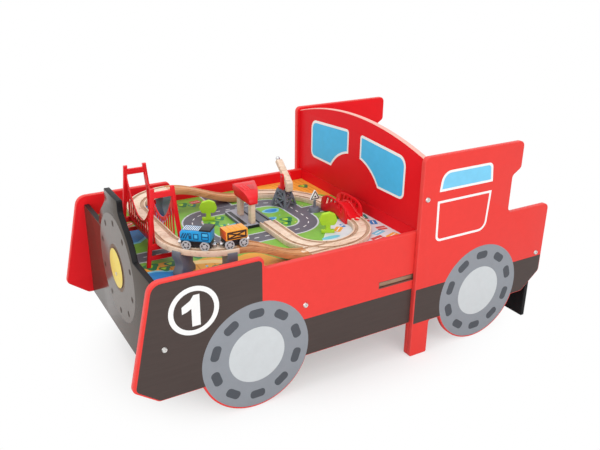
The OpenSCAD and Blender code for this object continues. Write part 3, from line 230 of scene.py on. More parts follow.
ACROSS = math.radians(90.0)
BEECH_LIGHT, BEECH_DARK = (0.83, 0.655, 0.505), (0.70, 0.50, 0.355)
MATERIALS = {
    # Boards
    # One red paint in three copies: red, for the outer faces, has a pale sheen painted into its colour,
    # inner_red, for the inner faces, is clearer, and the copy for the boards facing the front is darker, as
    # painted shade.
    "red": painted("red_paint", (0.765, 0.052, 0.044), rough=0.40, spread=0.05, spec=0.09),
    "inner_red": painted("inner_red_paint", (0.82, 0.012, 0.018), rough=0.40, spread=0.05, spec=0.10),
    "red_edge": painted("red_edge_paint", (0.74, 0.056, 0.049), rough=0.42, spread=0.10, peel=0.22),
    "shaded_red": painted("red_paint_in_painted_shade", (0.70, 0.008, 0.014), rough=0.42, spread=0.05, spec=0.10),
    # Pale colour of the windscreen's top arrises: a painted highlight.
    "screen_top_highlight": painted("pale_painted_highlight", (0.80, 0.42, 0.36), rough=0.45, spread=0.16, peel=0.25),
    "black_edge": painted(
        "black_edge_paint", (0.010, 0.010, 0.011), rough=0.40, spread=0.2, peel=0.2, spec=0.12
    ),
    "lamp": painted("lamp_yellow_paint", (0.75, 0.575, 0.100), spec=0.18),
    "lamp_ring": painted("lamp_ring_paint", (0.130, 0.074, 0.040), rough=0.46, spread=0.15),
    "raw": wooden("raw_board", (0.66, 0.47, 0.28), (0.44, 0.28, 0.15), rough=0.6),
    # The seat's tabs and the walls of the front sides' slots are raw wood darkened as painted shade of the
    # recess.
    "tab": wooden("raw_seat_tab_in_painted_shade", (0.40, 0.235, 0.150), (0.26, 0.135, 0.085), rough=0.6),
    "slot_wall_shade": wooden("raw_slot_in_painted_shade", (0.150, 0.060, 0.045), (0.080, 0.030, 0.024), rough=0.6),
    "steel": metal("zinc_steel", (0.66, 0.66, 0.64), 0.30),
    # Prints on the boards; the front panel's are glossy and dark
    "black_print": painted(
        "black_print", (0.064, 0.046, 0.041), rough=0.44, spread=0.18, peel=0.16, grain=(0.2, 1.0, 4.0),
        spec=0.18,
    ),
    "front_grey": painted(
        "front_grey_print", (0.054, 0.040, 0.029), rough=0.12, spread=0.12, peel=0.04, grain=(1.0, 4.0, 0.3),
        spec=0.5, ior=1.14,
    ),
    "disc_grey": painted(
        "disc_grey_print", (0.124, 0.104, 0.090), rough=0.12, spread=0.10, peel=0.04, spec=0.5, ior=1.18
    ),
    "rivet_brown": painted(
        "rivet_brown_print", (0.052, 0.036, 0.028), rough=0.14, spread=0.15, peel=0.05, spec=0.5, ior=1.05
    ),
    "wheel_grey": painted(
        "wheel_grey_print", (0.258, 0.276, 0.304), rough=0.44, spread=0.07, peel=0.12, spec=0.2
    ),
    "dash_grey": painted(
        "dash_grey_print", (0.074, 0.082, 0.096), rough=0.46, spread=0.12, peel=0.12, spec=0.2
    ),
    "hub_grey": painted("hub_grey_print", (0.570, 0.600, 0.615), rough=0.42, peel=0.12, spec=0.2),
    "white": painted("white_print", (0.84, 0.84, 0.83), rough=0.40, spread=0.03),
    "sky": painted("sky_blue_print", (0.070, 0.470, 0.800), spread=0.10, peel=0.08, spec=0.15),
    "sky_pale": painted("pale_blue_print", (0.185, 0.570, 0.820), rough=0.34, spread=0.10, peel=0.08),
    # Railway
    "track": wooden("beech_track", BEECH_LIGHT, BEECH_DARK),
    "track_y": wooden("beech_track_across", BEECH_LIGHT, BEECH_DARK, ACROSS),
    "groove": wooden("beech_groove", (0.56, 0.370, 0.245), (0.44, 0.270, 0.170)),
    "post": wooden("beech_post", (0.84, 0.67, 0.52), (0.74, 0.54, 0.39), ACROSS),
    "ramp": wooden("brown_beech_ramp", (0.640, 0.310, 0.125), (0.470, 0.200, 0.075)),
    "bridge_red": moulded("bridge_red_plastic", (0.74, 0.010, 0.016), 0.30, spec=0.24),
    "grey_plastic": moulded("slate_grey_plastic", (0.150, 0.163, 0.196), 0.44, spread=0.10, spec=0.3),
    "pale_plastic": moulded("pale_grey_plastic", (0.330, 0.338, 0.385), 0.44, spread=0.08, spec=0.3),
    "socket": moulded("socket_dark", (0.045, 0.042, 0.040), 0.6),
    "lime": painted("lime_paint", (0.410, 0.670, 0.035), rough=0.42, spread=0.08, peel=0.14, spec=0.2),
    # Train
    "train_black": moulded("train_black_plastic", (0.012, 0.012, 0.014), 0.36, spread=0.2, spec=0.35),
    "blue": painted("loco_blue_paint", (0.010, 0.305, 0.660), rough=0.28, peel=0.06, coat=0.15),
    "pale_blue": painted("loco_pale_blue_print", (0.075, 0.480, 0.780), rough=0.32, peel=0.06),
    "navy": painted("navy_print", (0.006, 0.060, 0.160), rough=0.38, spread=0.10),
    "orange": painted(
        "wagon_orange_paint", (0.830, 0.330, 0.028), rough=0.30, spread=0.07, peel=0.06, coat=0.12
    ),
    "dark_orange": painted(
        "wagon_end_paint", (0.760, 0.105, 0.016), rough=0.32, spread=0.07, peel=0.06, coat=0.2
    ),
    "brown_print": painted("brown_print", (0.048, 0.018, 0.010), rough=0.42, spread=0.2),
    "chrome": metal("bright_plating", (0.64, 0.645, 0.66), 0.34, scratch=0.05),
    "wheel_silver": moulded("wheel_silver_plastic", (0.46, 0.465, 0.48), 0.28, spread=0.10, spec=0.6),
    # Painted shade for the openings between a wheel's spokes.
    "spoke_gap_shade": moulded("spoke_gap_painted_shade", (0.060, 0.060, 0.066), 0.40, spread=0.2),
    # Tray print
    "grass": painted("print_grass", (0.205, 0.435, 0.060), rough=0.42, spread=0.24, spec=0.2),
    "grass_dark": painted("print_bush", (0.030, 0.200, 0.075), rough=0.42, spread=0.25, spec=0.2),
    "asphalt": painted("print_road", (0.124, 0.120, 0.146), rough=0.44, spread=0.16, peel=0.12, spec=0.2),
    "kerb": painted("print_kerb", (0.540, 0.560, 0.600), rough=0.42, spread=0.08, spec=0.2),
    "field": painted("print_field", (0.800, 0.370, 0.050), rough=0.42, spread=0.16, spec=0.2),
    "furrow": painted("print_furrow", (0.620, 0.235, 0.026), rough=0.42, spread=0.12, spec=0.2),
    "water": painted("print_water", (0.026, 0.220, 0.540), rough=0.38, spread=0.18, spec=0.2),
    "foam": painted("print_shallow", (0.180, 0.520, 0.680), rough=0.38, spread=0.10, spec=0.2),
    "plaza": painted("print_plaza", (0.650, 0.670, 0.690), rough=0.42, spec=0.2),
    "roof_print": painted("print_roof", (0.560, 0.090, 0.070), rough=0.42, spread=0.12, spec=0.2),
    "sand": painted("print_sand", (0.850, 0.600, 0.260), rough=0.42, spread=0.08, spec=0.2),
    "petal": painted("print_petal", (0.800, 0.330, 0.360), rough=0.42, spread=0.08, spec=0.2),
    "teal": painted("print_leaf_shade", (0.020, 0.230, 0.190), rough=0.42, spread=0.16, spec=0.2),
}

# Outlines: lists of points in a plane, in millimetres


def polar(cx, cy, r, degrees):
    """The point at a distance and an angle from a centre."""
    a = math.radians(degrees)
    return Vector((cx + r * math.cos(a), cy + r * math.sin(a)))


def rounded(points, steps=6):
    """A closed outline from corners (x, y, radius)."""
    out = []
    for i, (x, y, r) in enumerate(points):
        corner = Vector((x, y))
        if r == 0:
            out.append(corner)
            continue
        u = (Vector(points[i - 1][:2]) - corner).normalized()
        v = (Vector(points[(i + 1) % len(points)][:2]) - corner).normalized()
        half = math.acos(max(-1.0, min(1.0, u.dot(v)))) / 2
        mid = corner + (u + v).normalized() * r / math.sin(half)
        start = corner + u * (r / math.tan(half)) - mid
        end = corner + v * (r / math.tan(half)) - mid
        a0 = math.atan2(start.y, start.x)
        turn = (math.atan2(end.y, end.x) - a0 + math.pi) % (2 * math.pi) - math.pi
        angles = [math.degrees(a0 + turn * k / steps) for k in range(steps + 1)]
        out += [polar(mid.x, mid.y, r, angle) for angle in angles]
    return out


def box_loop(x0, y0, x1, y1, r=0.0, steps=6):
    return rounded([(x0, y0, r), (x1, y0, r), (x1, y1, r), (x0, y1, r)], steps)


def ring(cx, cy, r, count=64):
    return [polar(cx, cy, r, 360.0 * k / count) for k in range(count)]


def arc(cx, cy, r, a0, a1, count):
    return [polar(cx, cy, r, a0 + (a1 - a0) * k / count) for k in range(count + 1)]


def bar(cx, cy, length, width, angle, r):
    """A rounded bar round a centre, its length along the angle in degrees."""
    c, s = math.cos(math.radians(angle)), math.sin(math.radians(angle))
    shape = box_loop(-length / 2, -width / 2, length / 2, width / 2, r)
    return [Vector((cx + p.x * c - p.y * s, cy + p.x * s + p.y * c)) for p in shape]


def strip(points, width):
    """A band of even width along a line of points."""
    left, right = [], []
    for i, p in enumerate(points):
        before = Vector(points[max(i - 1, 0)])
        after = Vector(points[min(i + 1, len(points) - 1)])
        along = (after - before).normalized()
        aside = Vector((-along.y, along.x)) * width / 2
        left.append(Vector(p) + aside)
        right.append(Vector(p) - aside)
    return left + right[::-1]


def mirrored(loop, s):
    """The outline as it is for 1, or mirrored left to right for -1."""
    return [Vector((p.x * s, p.y)) for p in loop]


def scaled(loop, cx, cy, share):
    return [Vector((cx + (p.x - cx) * share, cy + (p.y - cy) * share)) for p in loop]


def wound(loop, sense):
    """The outline run round to the left for 1 or to the right for -1."""
    area = sum(a.x * b.y - b.x * a.y for a, b in zip(loop, loop[1:] + loop[:1])) / 2
    return loop if area * sense > 0 else loop[::-1]


# Meshes: tolerances in metres and radians, the largest bolt hole in millimetres, a board's material slots
SAME_SPOT = 1e-6
MERGE_GAP = 2e-6
SAME_PLANE = 2e-5
NO_AREA = 1e-14
IN_LINE = 0.002
MITRE_LIMIT = 0.5
BOLT_HOLE = 13.5
ROUND_STEPS = 3
CROWN_TILT = 0.3
FACE, EDGE, BACK, WALL = range(4)


def link(name, data):
    """A new object in the scene."""
    obj = bpy.data.objects.new(name, data)
    scene.collection.objects.link(obj)
    return obj


def finish_mesh(name, bm, keys, body, sharp=40.0):
    mesh = bpy.data.meshes.new(name)
    bm.to_mesh(mesh)
    bm.free()
    for key in keys:
        mesh.materials.append(MATERIALS[key])
    mesh.set_sharp_from_angle(angle=math.radians(sharp))
    obj = link(name, mesh)
    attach(obj, body)
    return obj


def fill(bm, rows, plan, outward, index):
    """Faces across loops of vertices, cut into triangles by the loops' plan."""
    verts = [v for row in rows for v in row]
    for tri in tessellate_polygon(plan):
        spots = [verts[i] for i in tri]
        cross = (spots[1].co - spots[0].co).cross(spots[2].co - spots[0].co)
        if cross.length < NO_AREA:
            continue
        if cross.dot(outward) < 0:
            spots.reverse()
        bm.faces.new(spots).material_index = index


class Prints:
    """Thin printed areas on a flat face: one mesh with a material for each colour.

    Outlines run along the face's right and up, from its origin."""

    def __init__(self, name, origin, right, up, slot, body="table"):
        self.name, self.body, self.slot = name, body, slot
        self.origin = Vector(origin) * MM
        self.right, self.up = Vector(right), Vector(up)
        self.out = self.right.cross(self.up)
        self.bm = bmesh.new()
        self.keys = []

    def row(self, loop, height):
        spots = [self.right * p.x + self.up * p.y + self.out * height for p in loop]
        return [self.bm.verts.new(self.origin + spot * MM) for spot in spots]

    def add(self, key, outer, holes=(), lift=0.12, sink=0.05):
        """One area, lifted over the face and sunk a little into it."""
        if key not in self.keys:
            self.keys.append(key)
        index = self.keys.index(key)
        loops = [wound(outer, 1)] + [wound(hole, -1) for hole in holes]
        tops = [self.row(loop, lift) for loop in loops]
        lows = [self.row(loop, -sink) for loop in loops]
        fill(self.bm, tops, [[p.to_3d() for p in loop] for loop in loops], self.out, index)
        for top, low in zip(tops, lows):
            for i in range(len(top)):
                j = (i + 1) % len(top)
                self.bm.faces.new((low[i], low[j], top[j], top[i])).material_index = index

    def done(self):
        finish_mesh(self.name, self.bm, self.keys, self.body)


def reach(loop):
    return max((p - loop[0]).length for p in loop)


def cap_loops(node, axis, keep):
    """Loops round a node's flat cap at its far end along an axis, without small holes, and its thickness."""
    mesh = NODES[node].data
    along = [v.co.dot(axis) for v in mesh.vertices]
    level = max(along)
    edges = {}
    for poly in mesh.polygons:
        if all(level - along[i] < SAME_PLANE for i in poly.vertices):
            spots = [tuple(mesh.vertices[i].co) for i in poly.vertices]
            for a, b in zip(spots, spots[1:] + spots[:1]):
                if (b, a) in edges:
                    del edges[(b, a)]
                else:
                    edges[(a, b)] = True
    follow = {a: b for a, b in edges}
    loops = []
    while follow:
        loop, spot = [], next(iter(follow))
        while spot in follow:
            loop.append(Vector(spot))
            spot = follow.pop(spot)
        loops.append(loop)
    return [loop for loop in loops if reach(loop) > keep * MM], level - min(along)


def smooth_loop(loop):
    """The loop without doubled or in-line points."""
    out = []
    for i, p in enumerate(loop):
        a, b = p - loop[i - 1], loop[(i + 1) % len(loop)] - p
        doubled = a.length < SAME_SPOT
        if not doubled and not (b.length > SAME_SPOT and a.angle(b) < IN_LINE):
            out.append(p)
    return out


def inset(loop, axis, by):
    out = []
    for i, p in enumerate(loop):
        a = (p - loop[i - 1]).normalized()
        b = (loop[(i + 1) % len(loop)] - p).normalized()
        n, m = axis.cross(a), axis.cross(b)
        out.append(p + (n + m) / max(MITRE_LIMIT, 1.0 + n.dot(m)) * by)
    return out


def round_rows(thick, soft):
    """Depth and inset of the rows round a board with rounded arrises, from its back to its face."""
    turns = [math.radians(90.0 * k / ROUND_STEPS) for k in range(ROUND_STEPS + 1)]
    levels = [(soft * (1 - math.sin(t)), soft * (1 - math.cos(t))) for t in turns]
    return [(thick - depth, gap) for depth, gap in levels[::-1]] + levels


def prism(node, axis, soft, face, edge, keep=BOLT_HOLE, back=None, wall=None, crown=False):
    """The node's outline as a board with softened arrises, which stands for the node.

    The face looks along the axis, back is the other face and wall the inside of holes.
    Holes that don't reach over keep are closed. With crown, only what looks up has the edge colour, a painted
    highlight on the top arrises."""
    axis = Vector(axis).normalized()
    loops, thick = cap_loops(node, axis, keep)
    loops = [smooth_loop(loop) for loop in loops]
    sizes = [reach(loop) for loop in loops]
    bm = bmesh.new()
    rows = [
        [[bm.verts.new(p - axis * depth) for p in inset(loop, axis, gap)] for loop in loops]
        for depth, gap in round_rows(thick, soft * MM)
    ]
    for low, high in zip(rows, rows[1:]):
        for a, b, size in zip(low, high, sizes):
            for i in range(len(a)):
                j = (i + 1) % len(a)
                run = a[j].co - a[i].co
                quad = bm.faces.new((a[i], a[j], b[j], b[i]))
                quad.material_index = EDGE if size == max(sizes) else WALL
                if crown and axis.cross(run).z > -CROWN_TILT * run.length:
                    quad.material_index = FACE
                quad.smooth = True
    for row, outward, index in ((rows[-1], axis, FACE), (rows[0], -axis, BACK)):
        fill(bm, row, [[v.co for v in loop] for loop in row], outward, index)
    keys = (face, edge, back or face, wall or edge)
    obj = finish_mesh(node + "_shaped", bm, keys, NODES[node]["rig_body"])
    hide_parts(node)


# Bends of a softened node, in degrees: below merge faces join, flat to curve is a round, over arris an arris
MERGE_BEND, FLAT_BEND, CURVE_BEND, ARRIS_BEND = 0.4, 0.5, 30.0, 38.0


def softened(node, width, keys, pick=None):
    """A copy of the node with rounded arrises, which stands for the node; pick names each face's material."""
    bm = bmesh.new()
    bm.from_mesh(NODES[node].data)
    bmesh.ops.remove_doubles(bm, verts=bm.verts[:], dist=MERGE_GAP)
    bmesh.ops.dissolve_limit(bm, angle_limit=math.radians(MERGE_BEND), verts=bm.verts[:], edges=bm.edges[:])
    flat, curve, arris = (math.radians(bend) for bend in (FLAT_BEND, CURVE_BEND, ARRIS_BEND))
    for face in bm.faces:
        face.smooth = any(flat < e.calc_face_angle(0.0) < curve for e in face.edges)
    outer = [e for e in bm.edges if len(e.link_faces) == 2 and e.calc_face_angle_signed(0.0) > arris]
    made = bmesh.ops.bevel(
        bm, geom=outer, offset=width * MM, offset_type="OFFSET", segments=2, profile=0.5, affect="EDGES",
        clamp_overlap=True,
    )
    for face in made["faces"]:
        face.smooth = True
    bm.normal_update()
    if pick:
        for face in bm.faces:
            face.material_index = keys.index(pick(face.calc_center_median() / MM, face.normal))
    obj = finish_mesh(node + "_shaped", bm, keys, NODES[node]["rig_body"], sharp=50.0)
    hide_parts(node)


def paint_node(node, key):
    mesh = NODES[node].data
    mesh.materials.clear()
    mesh.materials.append(MATERIALS[key])


# Painted boards and their fittings: the arrises' radii in millimetres
SIDE_ARRIS, PANEL_ARRIS, SHELF_ARRIS, LAMP_ARRIS = 2.0, 1.6, 1.2, 0.8
# The front sides' slot walls take the raw wood darkened as painted shade.
for side, axis in (("left", LEFT), ("right", Y)):
    for board, wall in (("front_side_", "slot_wall_shade"), ("cabin_side_", "raw")):
        prism(board + side, axis, SIDE_ARRIS, "red", "red_edge", back="inner_red", wall=wall)
prism("front_panel", FRONT, PANEL_ARRIS, "front_grey", "black_edge")
# Only the windscreen's upward-looking arrises are pale, a painted highlight; its face is the darker red,
# painted shade.
prism("windscreen_panel", FRONT, PANEL_ARRIS, "shaded_red", "screen_top_highlight", crown=True)
# The tray's end board faces the front and takes the darker red, as painted shade.
prism("tray_end_board", FRONT, SHELF_ARRIS, "shaded_red", "shaded_red")
prism("front_trestle", FRONT, PANEL_ARRIS, "red", "red_edge")
prism("rear_trestle", X, PANEL_ARRIS, "black_edge", "black_edge")
# The seat board's edges and tabs take the darker raw wood, painted shade of the slots they sit in.
prism("seat_board", Z, SHELF_ARRIS, "red", "tab")
prism("lamp_disc", FRONT, LAMP_ARRIS, "lamp", "lamp_ring")
paint_node("cross_board", "shaded_red")
for node in ("tray_batten_left", "tray_batten_right", "tray_battens_cross", "panel_dowels"):
    paint_node(node, "raw")
for node in ("panel_bolts", "barrel_nuts", "lamp_screw", "crane_pin"):
    paint_node(node, "steel")

# Side prints, in the X-Z plane of the left side
BAND_LOW, BAND_HIGH = 87.0, 174.5
FRONT_BAND_END = 121.8
BONNET_END, BONNET_TOP = -255.2, 331.0
CABIN_BAND_START, CABIN_BAND_END = 124.5, 522.6
WHEEL_XS = {"front": -268.6, "rear": 318.6}
WHEEL_Z, WHEEL_R = 123.6, 119.6
HUB_Z, HUB_R = WHEEL_Z + 1.0, 62.5
DASHES, DASH_R = 10, 94.0
DASH_LEN, DASH_W, DASH_ROUND = 34.0, 19.0, 8.0
NUMBER_X, NUMBER_Z = -398.0, 260.5
NUMBER_R, NUMBER_BAND = 50.5, 10.0
NUMBER_SHIFT = 8.0
ONE = [
    (12, -32.5), (12, 32.5), (0, 32.5), (-7, 22.5), (-24, 12.5),
    (-24, -2.5), (-14, 0.5), (-5, 5.5), (-5, -32.5),
]


class SidePrints(Prints):
    """Prints on the outer face of a left (1) or right (-1) side, given as on the left one."""

    def __init__(self, name, y, s):
        self.s = s
        super().__init__(name, (0, -s * y, 0), (s, 0, 0), Z, "red_board")

    def add(self, key, outer, holes=(), lift=0.12, sink=0.05):
        super().add(key, mirrored(outer, self.s), [mirrored(hole, self.s) for hole in holes], lift, sink)

    def wheel(self, cx):
        self.add("wheel_grey", ring(cx, WHEEL_Z, WHEEL_R, 120), lift=0.20)
        self.add("hub_grey", ring(cx, HUB_Z, HUB_R, 96), lift=0.26)
        for k in range(DASHES):
            turn = 360 / DASHES * k
            at = polar(cx, HUB_Z, DASH_R, 90 + turn)
            self.add("dash_grey", bar(at.x, at.y, DASH_LEN, DASH_W, turn, DASH_ROUND), lift=0.26)


def print_front_side(side, s):
    """The bonnet's dark field, the band, a wheel and the number in its ring."""
    p = SidePrints("print_front_side_" + side, SIDE_Y, s)
    bonnet = rounded([
        (-519.5, 121.5, 12), (-474.5, BAND_LOW, 12), (BONNET_END, BAND_LOW, 0), (BONNET_END, BONNET_TOP, 9),
        (-474.8, BONNET_TOP, 22),
    ])
    p.add("black_print", bonnet)
    p.add("black_print", box_loop(BONNET_END, BAND_LOW, FRONT_BAND_END, BAND_HIGH), lift=0.11)
    p.wheel(WHEEL_XS["front"])
    inner = ring(NUMBER_X, NUMBER_Z, NUMBER_R - NUMBER_BAND, 96)
    p.add("white", ring(NUMBER_X, NUMBER_Z, NUMBER_R, 96), [inner], lift=0.20)
    # The right side's number is mirrored twice, so that it reads the right way round
    shift = NUMBER_X - (NUMBER_SHIFT if s < 0 else 0.0)
    p.add("white", [Vector((shift + x * s, NUMBER_Z + z)) for x, z in ONE], lift=0.20)
    p.done()


def print_cabin_side(side, s):
    """The band, a wheel, a window with its frame and a door's frame."""
    p = SidePrints("print_cabin_side_" + side, CABIN_Y, s)
    band = rounded([
        (CABIN_BAND_START, BAND_LOW, 2), (470, BAND_LOW, 11), (CABIN_BAND_END, 132, 11),
        (CABIN_BAND_END, BAND_HIGH, 2), (CABIN_BAND_START, BAND_HIGH, 2),
    ])
    p.add("black_print", band)
    p.wheel(WHEEL_XS["rear"])
    sash = rounded([(168, 400, 1.5), (324, 400, 1.5), (319, 446, 13), (174, 446, 26)])
    pane = rounded([(174.5, 405.5, 1), (317.5, 405.5, 1), (313.5, 440.5, 9), (180, 440.5, 21)])
    p.add("white", sash, [pane], lift=0.16)
    p.add("sky_pale", pane)
    door = rounded([(168.5, 283, 14), (318, 283, 24), (324, 379, 1.5), (165.5, 379, 1.5)])
    door_inner = rounded([(174, 288.5, 9), (313, 288.5, 19), (318, 373.5, 1), (171.5, 373.5, 1)])
    p.add("white", door, [door_inner], lift=0.16)
    p.done()


for side, s in (("left", 1), ("right", -1)):
    print_front_side(side, s)
    print_cabin_side(side, s)

# Front panel: smokebox disc, rivets and a ring behind the lamp
SMOKEBOX_Z, SMOKEBOX_R = 254.0, 118.5
RIVETS, RIVET_R = 10, 101.0
RIVET_LEN, RIVET_W, RIVET_ROUND = 13.0, 12.0, 4.5
LAMP_RING_R = 52.0
p = Prints("print_front_panel", (PANEL_X, 0, 0), LEFT, Z, "grey_board")
p.add("disc_grey", ring(0, SMOKEBOX_Z, SMOKEBOX_R, 120))
for k in range(RIVETS):
    turn = 90 + 360 / RIVETS * k
    at = polar(0, SMOKEBOX_Z, RIVET_R, turn)
    p.add("rivet_brown", bar(at.x, at.y, RIVET_LEN, RIVET_W, turn, RIVET_ROUND), lift=0.18)
p.add("lamp_ring", ring(0, SMOKEBOX_Z, LAMP_RING_R, 96), lift=0.18)
p.done()

# Windscreen: two windows with pale frames, cut low by the round of the smokebox
WINDOW_INNER, WINDOW_OUTER, WINDOW_LOW = 24.5, 198.0, 363.0
WINDOW_TOP, WINDOW_TOP_OUTER = 474.0, 463.0
BOW_Z, BOW_R = 296.6, 120.0
WINDOW_FRAME = 5.5
LOW_ROUND, INNER_ROUND, OUTER_ROUND = 17.0, 9.0, 24.0
TOP_SHARE = 1.2


def window(gap, s):
    """The outline of the left (1) or right (-1) window, inset by a gap."""
    inner, outer, low, bow = WINDOW_INNER + gap, WINDOW_OUTER - gap, WINDOW_LOW + gap, BOW_R + gap
    a0 = math.degrees(math.asin((low - BOW_Z) / bow))
    a1 = math.degrees(math.acos(inner / bow))
    shape = rounded([
        (outer, low, LOW_ROUND - gap),
        *[(q.x, q.y, 0) for q in arc(0, BOW_Z, bow, a0, a1, 14)],
        (inner, WINDOW_TOP - TOP_SHARE * gap, INNER_ROUND - gap),
        (outer, WINDOW_TOP_OUTER - TOP_SHARE * gap, OUTER_ROUND - gap),
    ][::-1])
    return mirrored(shape, s)


p = Prints("print_windscreen", (SCREEN_X, 0, 0), LEFT, Z, "deep_red_board")
for s in (1, -1):
    p.add("white", window(0, s), [window(WINDOW_FRAME, s)], lift=0.16)
    p.add("sky", window(WINDOW_FRAME, s))
p.done()

# Tray print: a generic town map up to the boards round it
PRINT_GAP = 0.2
TRAY_LEFT, TRAY_RIGHT, TRAY_HALF = PANEL_BACK_X + PRINT_GAP, SCREEN_X - PRINT_GAP, INNER_Y - PRINT_GAP
paint_node("tray_board", "grass")
tray = Prints("print_tray", (0, 0, TRAY_Z), X, Y, "tray_print")


def grown(loop, by):
    """The outline moved outward by a distance."""
    out = []
    for i, q in enumerate(loop):
        along = loop[(i + 1) % len(loop)] - loop[i - 1]
        out.append(q + Vector((along.y, -along.x)).normalized() * by)
    return out


def wavy(start, end, swing, waves):
    """A line of points from start to end with even waves."""
    steps = 8 * waves
    out = []
    for k in range(steps + 1):
        at = Vector(start).lerp(Vector(end), k / steps)
        out.append((at.x, at.y + swing * math.sin(2 * math.pi * waves * k / steps)))
    return out


OVAL_POINTS, OVAL_STEP = 18, 0.35


def oval(cx, cy, rx, ry, swell=0.0):
    """A hand-drawn oval; swell makes its sides uneven."""
    out = []
    for k in range(OVAL_POINTS):
        a = OVAL_STEP * k
        out.append(Vector((cx + rx * math.cos(a) * (1 + swell * math.sin(k)), cy + ry * math.sin(a))))
    return out


# Fields, waterways, square and path
FIELD_SWING = 8.0
CANAL_SHORE, CANAL_W = 56.0, 42.0
RIVER_SHORE, RIVER_W = 62.0, 46.0
PATH_W = 17.0
near_edge = wavy((-196, -140), (TRAY_LEFT, -74), FIELD_SWING, 3)
far_edge = wavy((122, 96), (-8, 200), FIELD_SWING, 2)
near_field = [(TRAY_LEFT, -TRAY_HALF), (-140, -TRAY_HALF), *near_edge]
far_field = [(-20, TRAY_HALF), (TRAY_RIGHT, TRAY_HALF), (TRAY_RIGHT, 96), *far_edge]
for field in (near_field, far_field):
    tray.add("field", [Vector(q) for q in field], lift=0.05)
canal = [(TRAY_LEFT, -138), (-426, -138), (-388, -156), (-362, -184), (-348, -218), (-348, -TRAY_HALF)]
tray.add("foam", strip(canal, CANAL_SHORE), lift=0.09)
tray.add("water", strip(canal, CANAL_W), lift=0.12)
square = rounded([
    (-116, -TRAY_HALF, 0), (TRAY_RIGHT, -TRAY_HALF, 0), (TRAY_RIGHT, -44, 0), (24, -60, 34), (-70, -176, 40),
])
tray.add("plaza", square, lift=0.07)
path = [(-340, -112), (-300, -126), (-262, -152), (-238, -194), (-238, -TRAY_HALF)]
tray.add("sand", strip(path, PATH_W), lift=0.08)
river = [(TRAY_LEFT, 64), (-414, 64), (-370, 106), (-330, 150), (-294, 206), (-294, TRAY_HALF)]
tray.add("foam", strip(river, RIVER_SHORE), lift=0.05)
tray.add("water", strip(river, RIVER_W), lift=0.09)

# Roads: a ring with three arms, white dashes along the middle
ROAD_W, KERB_W = 42.0, 50.0
LINE_LEN, LINE_W, LINE_ROUND = 12.0, 2.2, 0.8
RING_STEP, ARM_STEP = 26.0, 27.0
ring_road = box_loop(-262, -62, -6, 128, r=60, steps=12)
ARM_DASHES = ((-440, -40, 6), (26, 30, 4))
arms = (((TRAY_LEFT, -40), (-284, -40)), ((14, 30), (TRAY_RIGHT, 30)), ((-150, 150), (-150, TRAY_HALF)))


def dash(at, angle):
    tray.add("white", bar(at.x, at.y, LINE_LEN, LINE_W, angle, LINE_ROUND), lift=0.16)


tray.add("kerb", grown(ring_road, KERB_W / 2), [grown(ring_road, -KERB_W / 2)], lift=0.08)
tray.add("asphalt", grown(ring_road, ROAD_W / 2), [grown(ring_road, -ROAD_W / 2)])
for arm in arms:
    tray.add("kerb", strip(arm, KERB_W), lift=0.07)
    tray.add("asphalt", strip(arm, ROAD_W), lift=0.115)
# The dashes keep their step from one stretch of the ring to the next
run = 0.0
for i, start in enumerate(ring_road):
    step = ring_road[(i + 1) % len(ring_road)] - start
    while run < step.length:
        dash(start + step * (run / step.length), math.degrees(math.atan2(step.y, step.x)))
        run += RING_STEP
    run -= step.length
for x, y, count in ARM_DASHES:
    for k in range(count):
        dash(Vector((x + ARM_STEP * k, y)), 0)

# Furrows of the two fields: how many, the first one's ends and the steps of its ends
FURROW_W = 3.0
FURROWS = (
    (9, (-446, -240), (-438, -86), (17, 0), (17, -6.4)),
    (7, (26, 240), (44, 176), (15, 0), (12.5, -8)),
)
for count, foot, head, foot_step, head_step in FURROWS:
    for k in range(count):
        ends = [Vector(foot) + k * Vector(foot_step), Vector(head) + k * Vector(head_step)]
        tray.add("furrow", strip(ends, FURROW_W), lift=0.07)

# Ponds (x, y, half length, half width), bushes (x, y, radius) and flowers
PONDS = ((-168, 20, 34, 20), (-60, 70, 22, 15), (60, 92, 20, 12), (-84, 24, 15, 9))
BUSHES = (
    (-420, -92, 15), (-398, -112, 11), (-345, 20, 14), (-330, 44, 10), (-214, 62, 13), (-204, 38, 9),
    (-190, 84, 12), (-66, -20, 12), (-54, 2, 15), (-88, -8, 9), (96, 70, 12), (112, 88, 9), (40, 110, 10),
    (-380, -96, 12), (-300, -156, 12), (-322, -190, 9), (-236, 210, 14), (-214, 196, 10), (-96, 196, 13),
    (-70, 214, 10), (-420, 200, 16), (-396, 222, 12), (-318, -86, 13), (-294, -88, 9), (60, 220, 11),
    (104, 190, 13),
)
POND_SWELL, POND_SHARE = 0.12, 0.72
SMALL_BUSH = 11
BUSH_POINTS, LOBES, LOBE_SHARE = 24, 3, 0.22
GLINT_SHARE, GLINT_SHIFT = 0.45, Vector((-0.15, 0.2))
FLOWERS, FLOWER_R, FLOWER_STEP = 44, 2.0, 0.5
FLOWER_COLOURS = ("petal", "white", "lamp", "foam")
FLOWER_LOW, FLOWER_SPAN = Vector((-440, -190)), Vector((560, 420))
GOLDEN, FLOWER_SHIFT = 0.618, 0.11


def bush(cx, cy, r):
    """A leaf with lobes and a bright glint."""
    leaf = []
    for k in range(BUSH_POINTS):
        turn = 360 / BUSH_POINTS * k
        leaf.append(polar(cx, cy, r * (1 + LOBE_SHARE * math.sin(math.radians(LOBES * turn))), turn))
    tray.add("teal" if r < SMALL_BUSH else "grass_dark", leaf, lift=0.14)
    tray.add("lime", [q + GLINT_SHIFT * r for q in scaled(leaf, cx, cy, GLINT_SHARE)], lift=0.17)


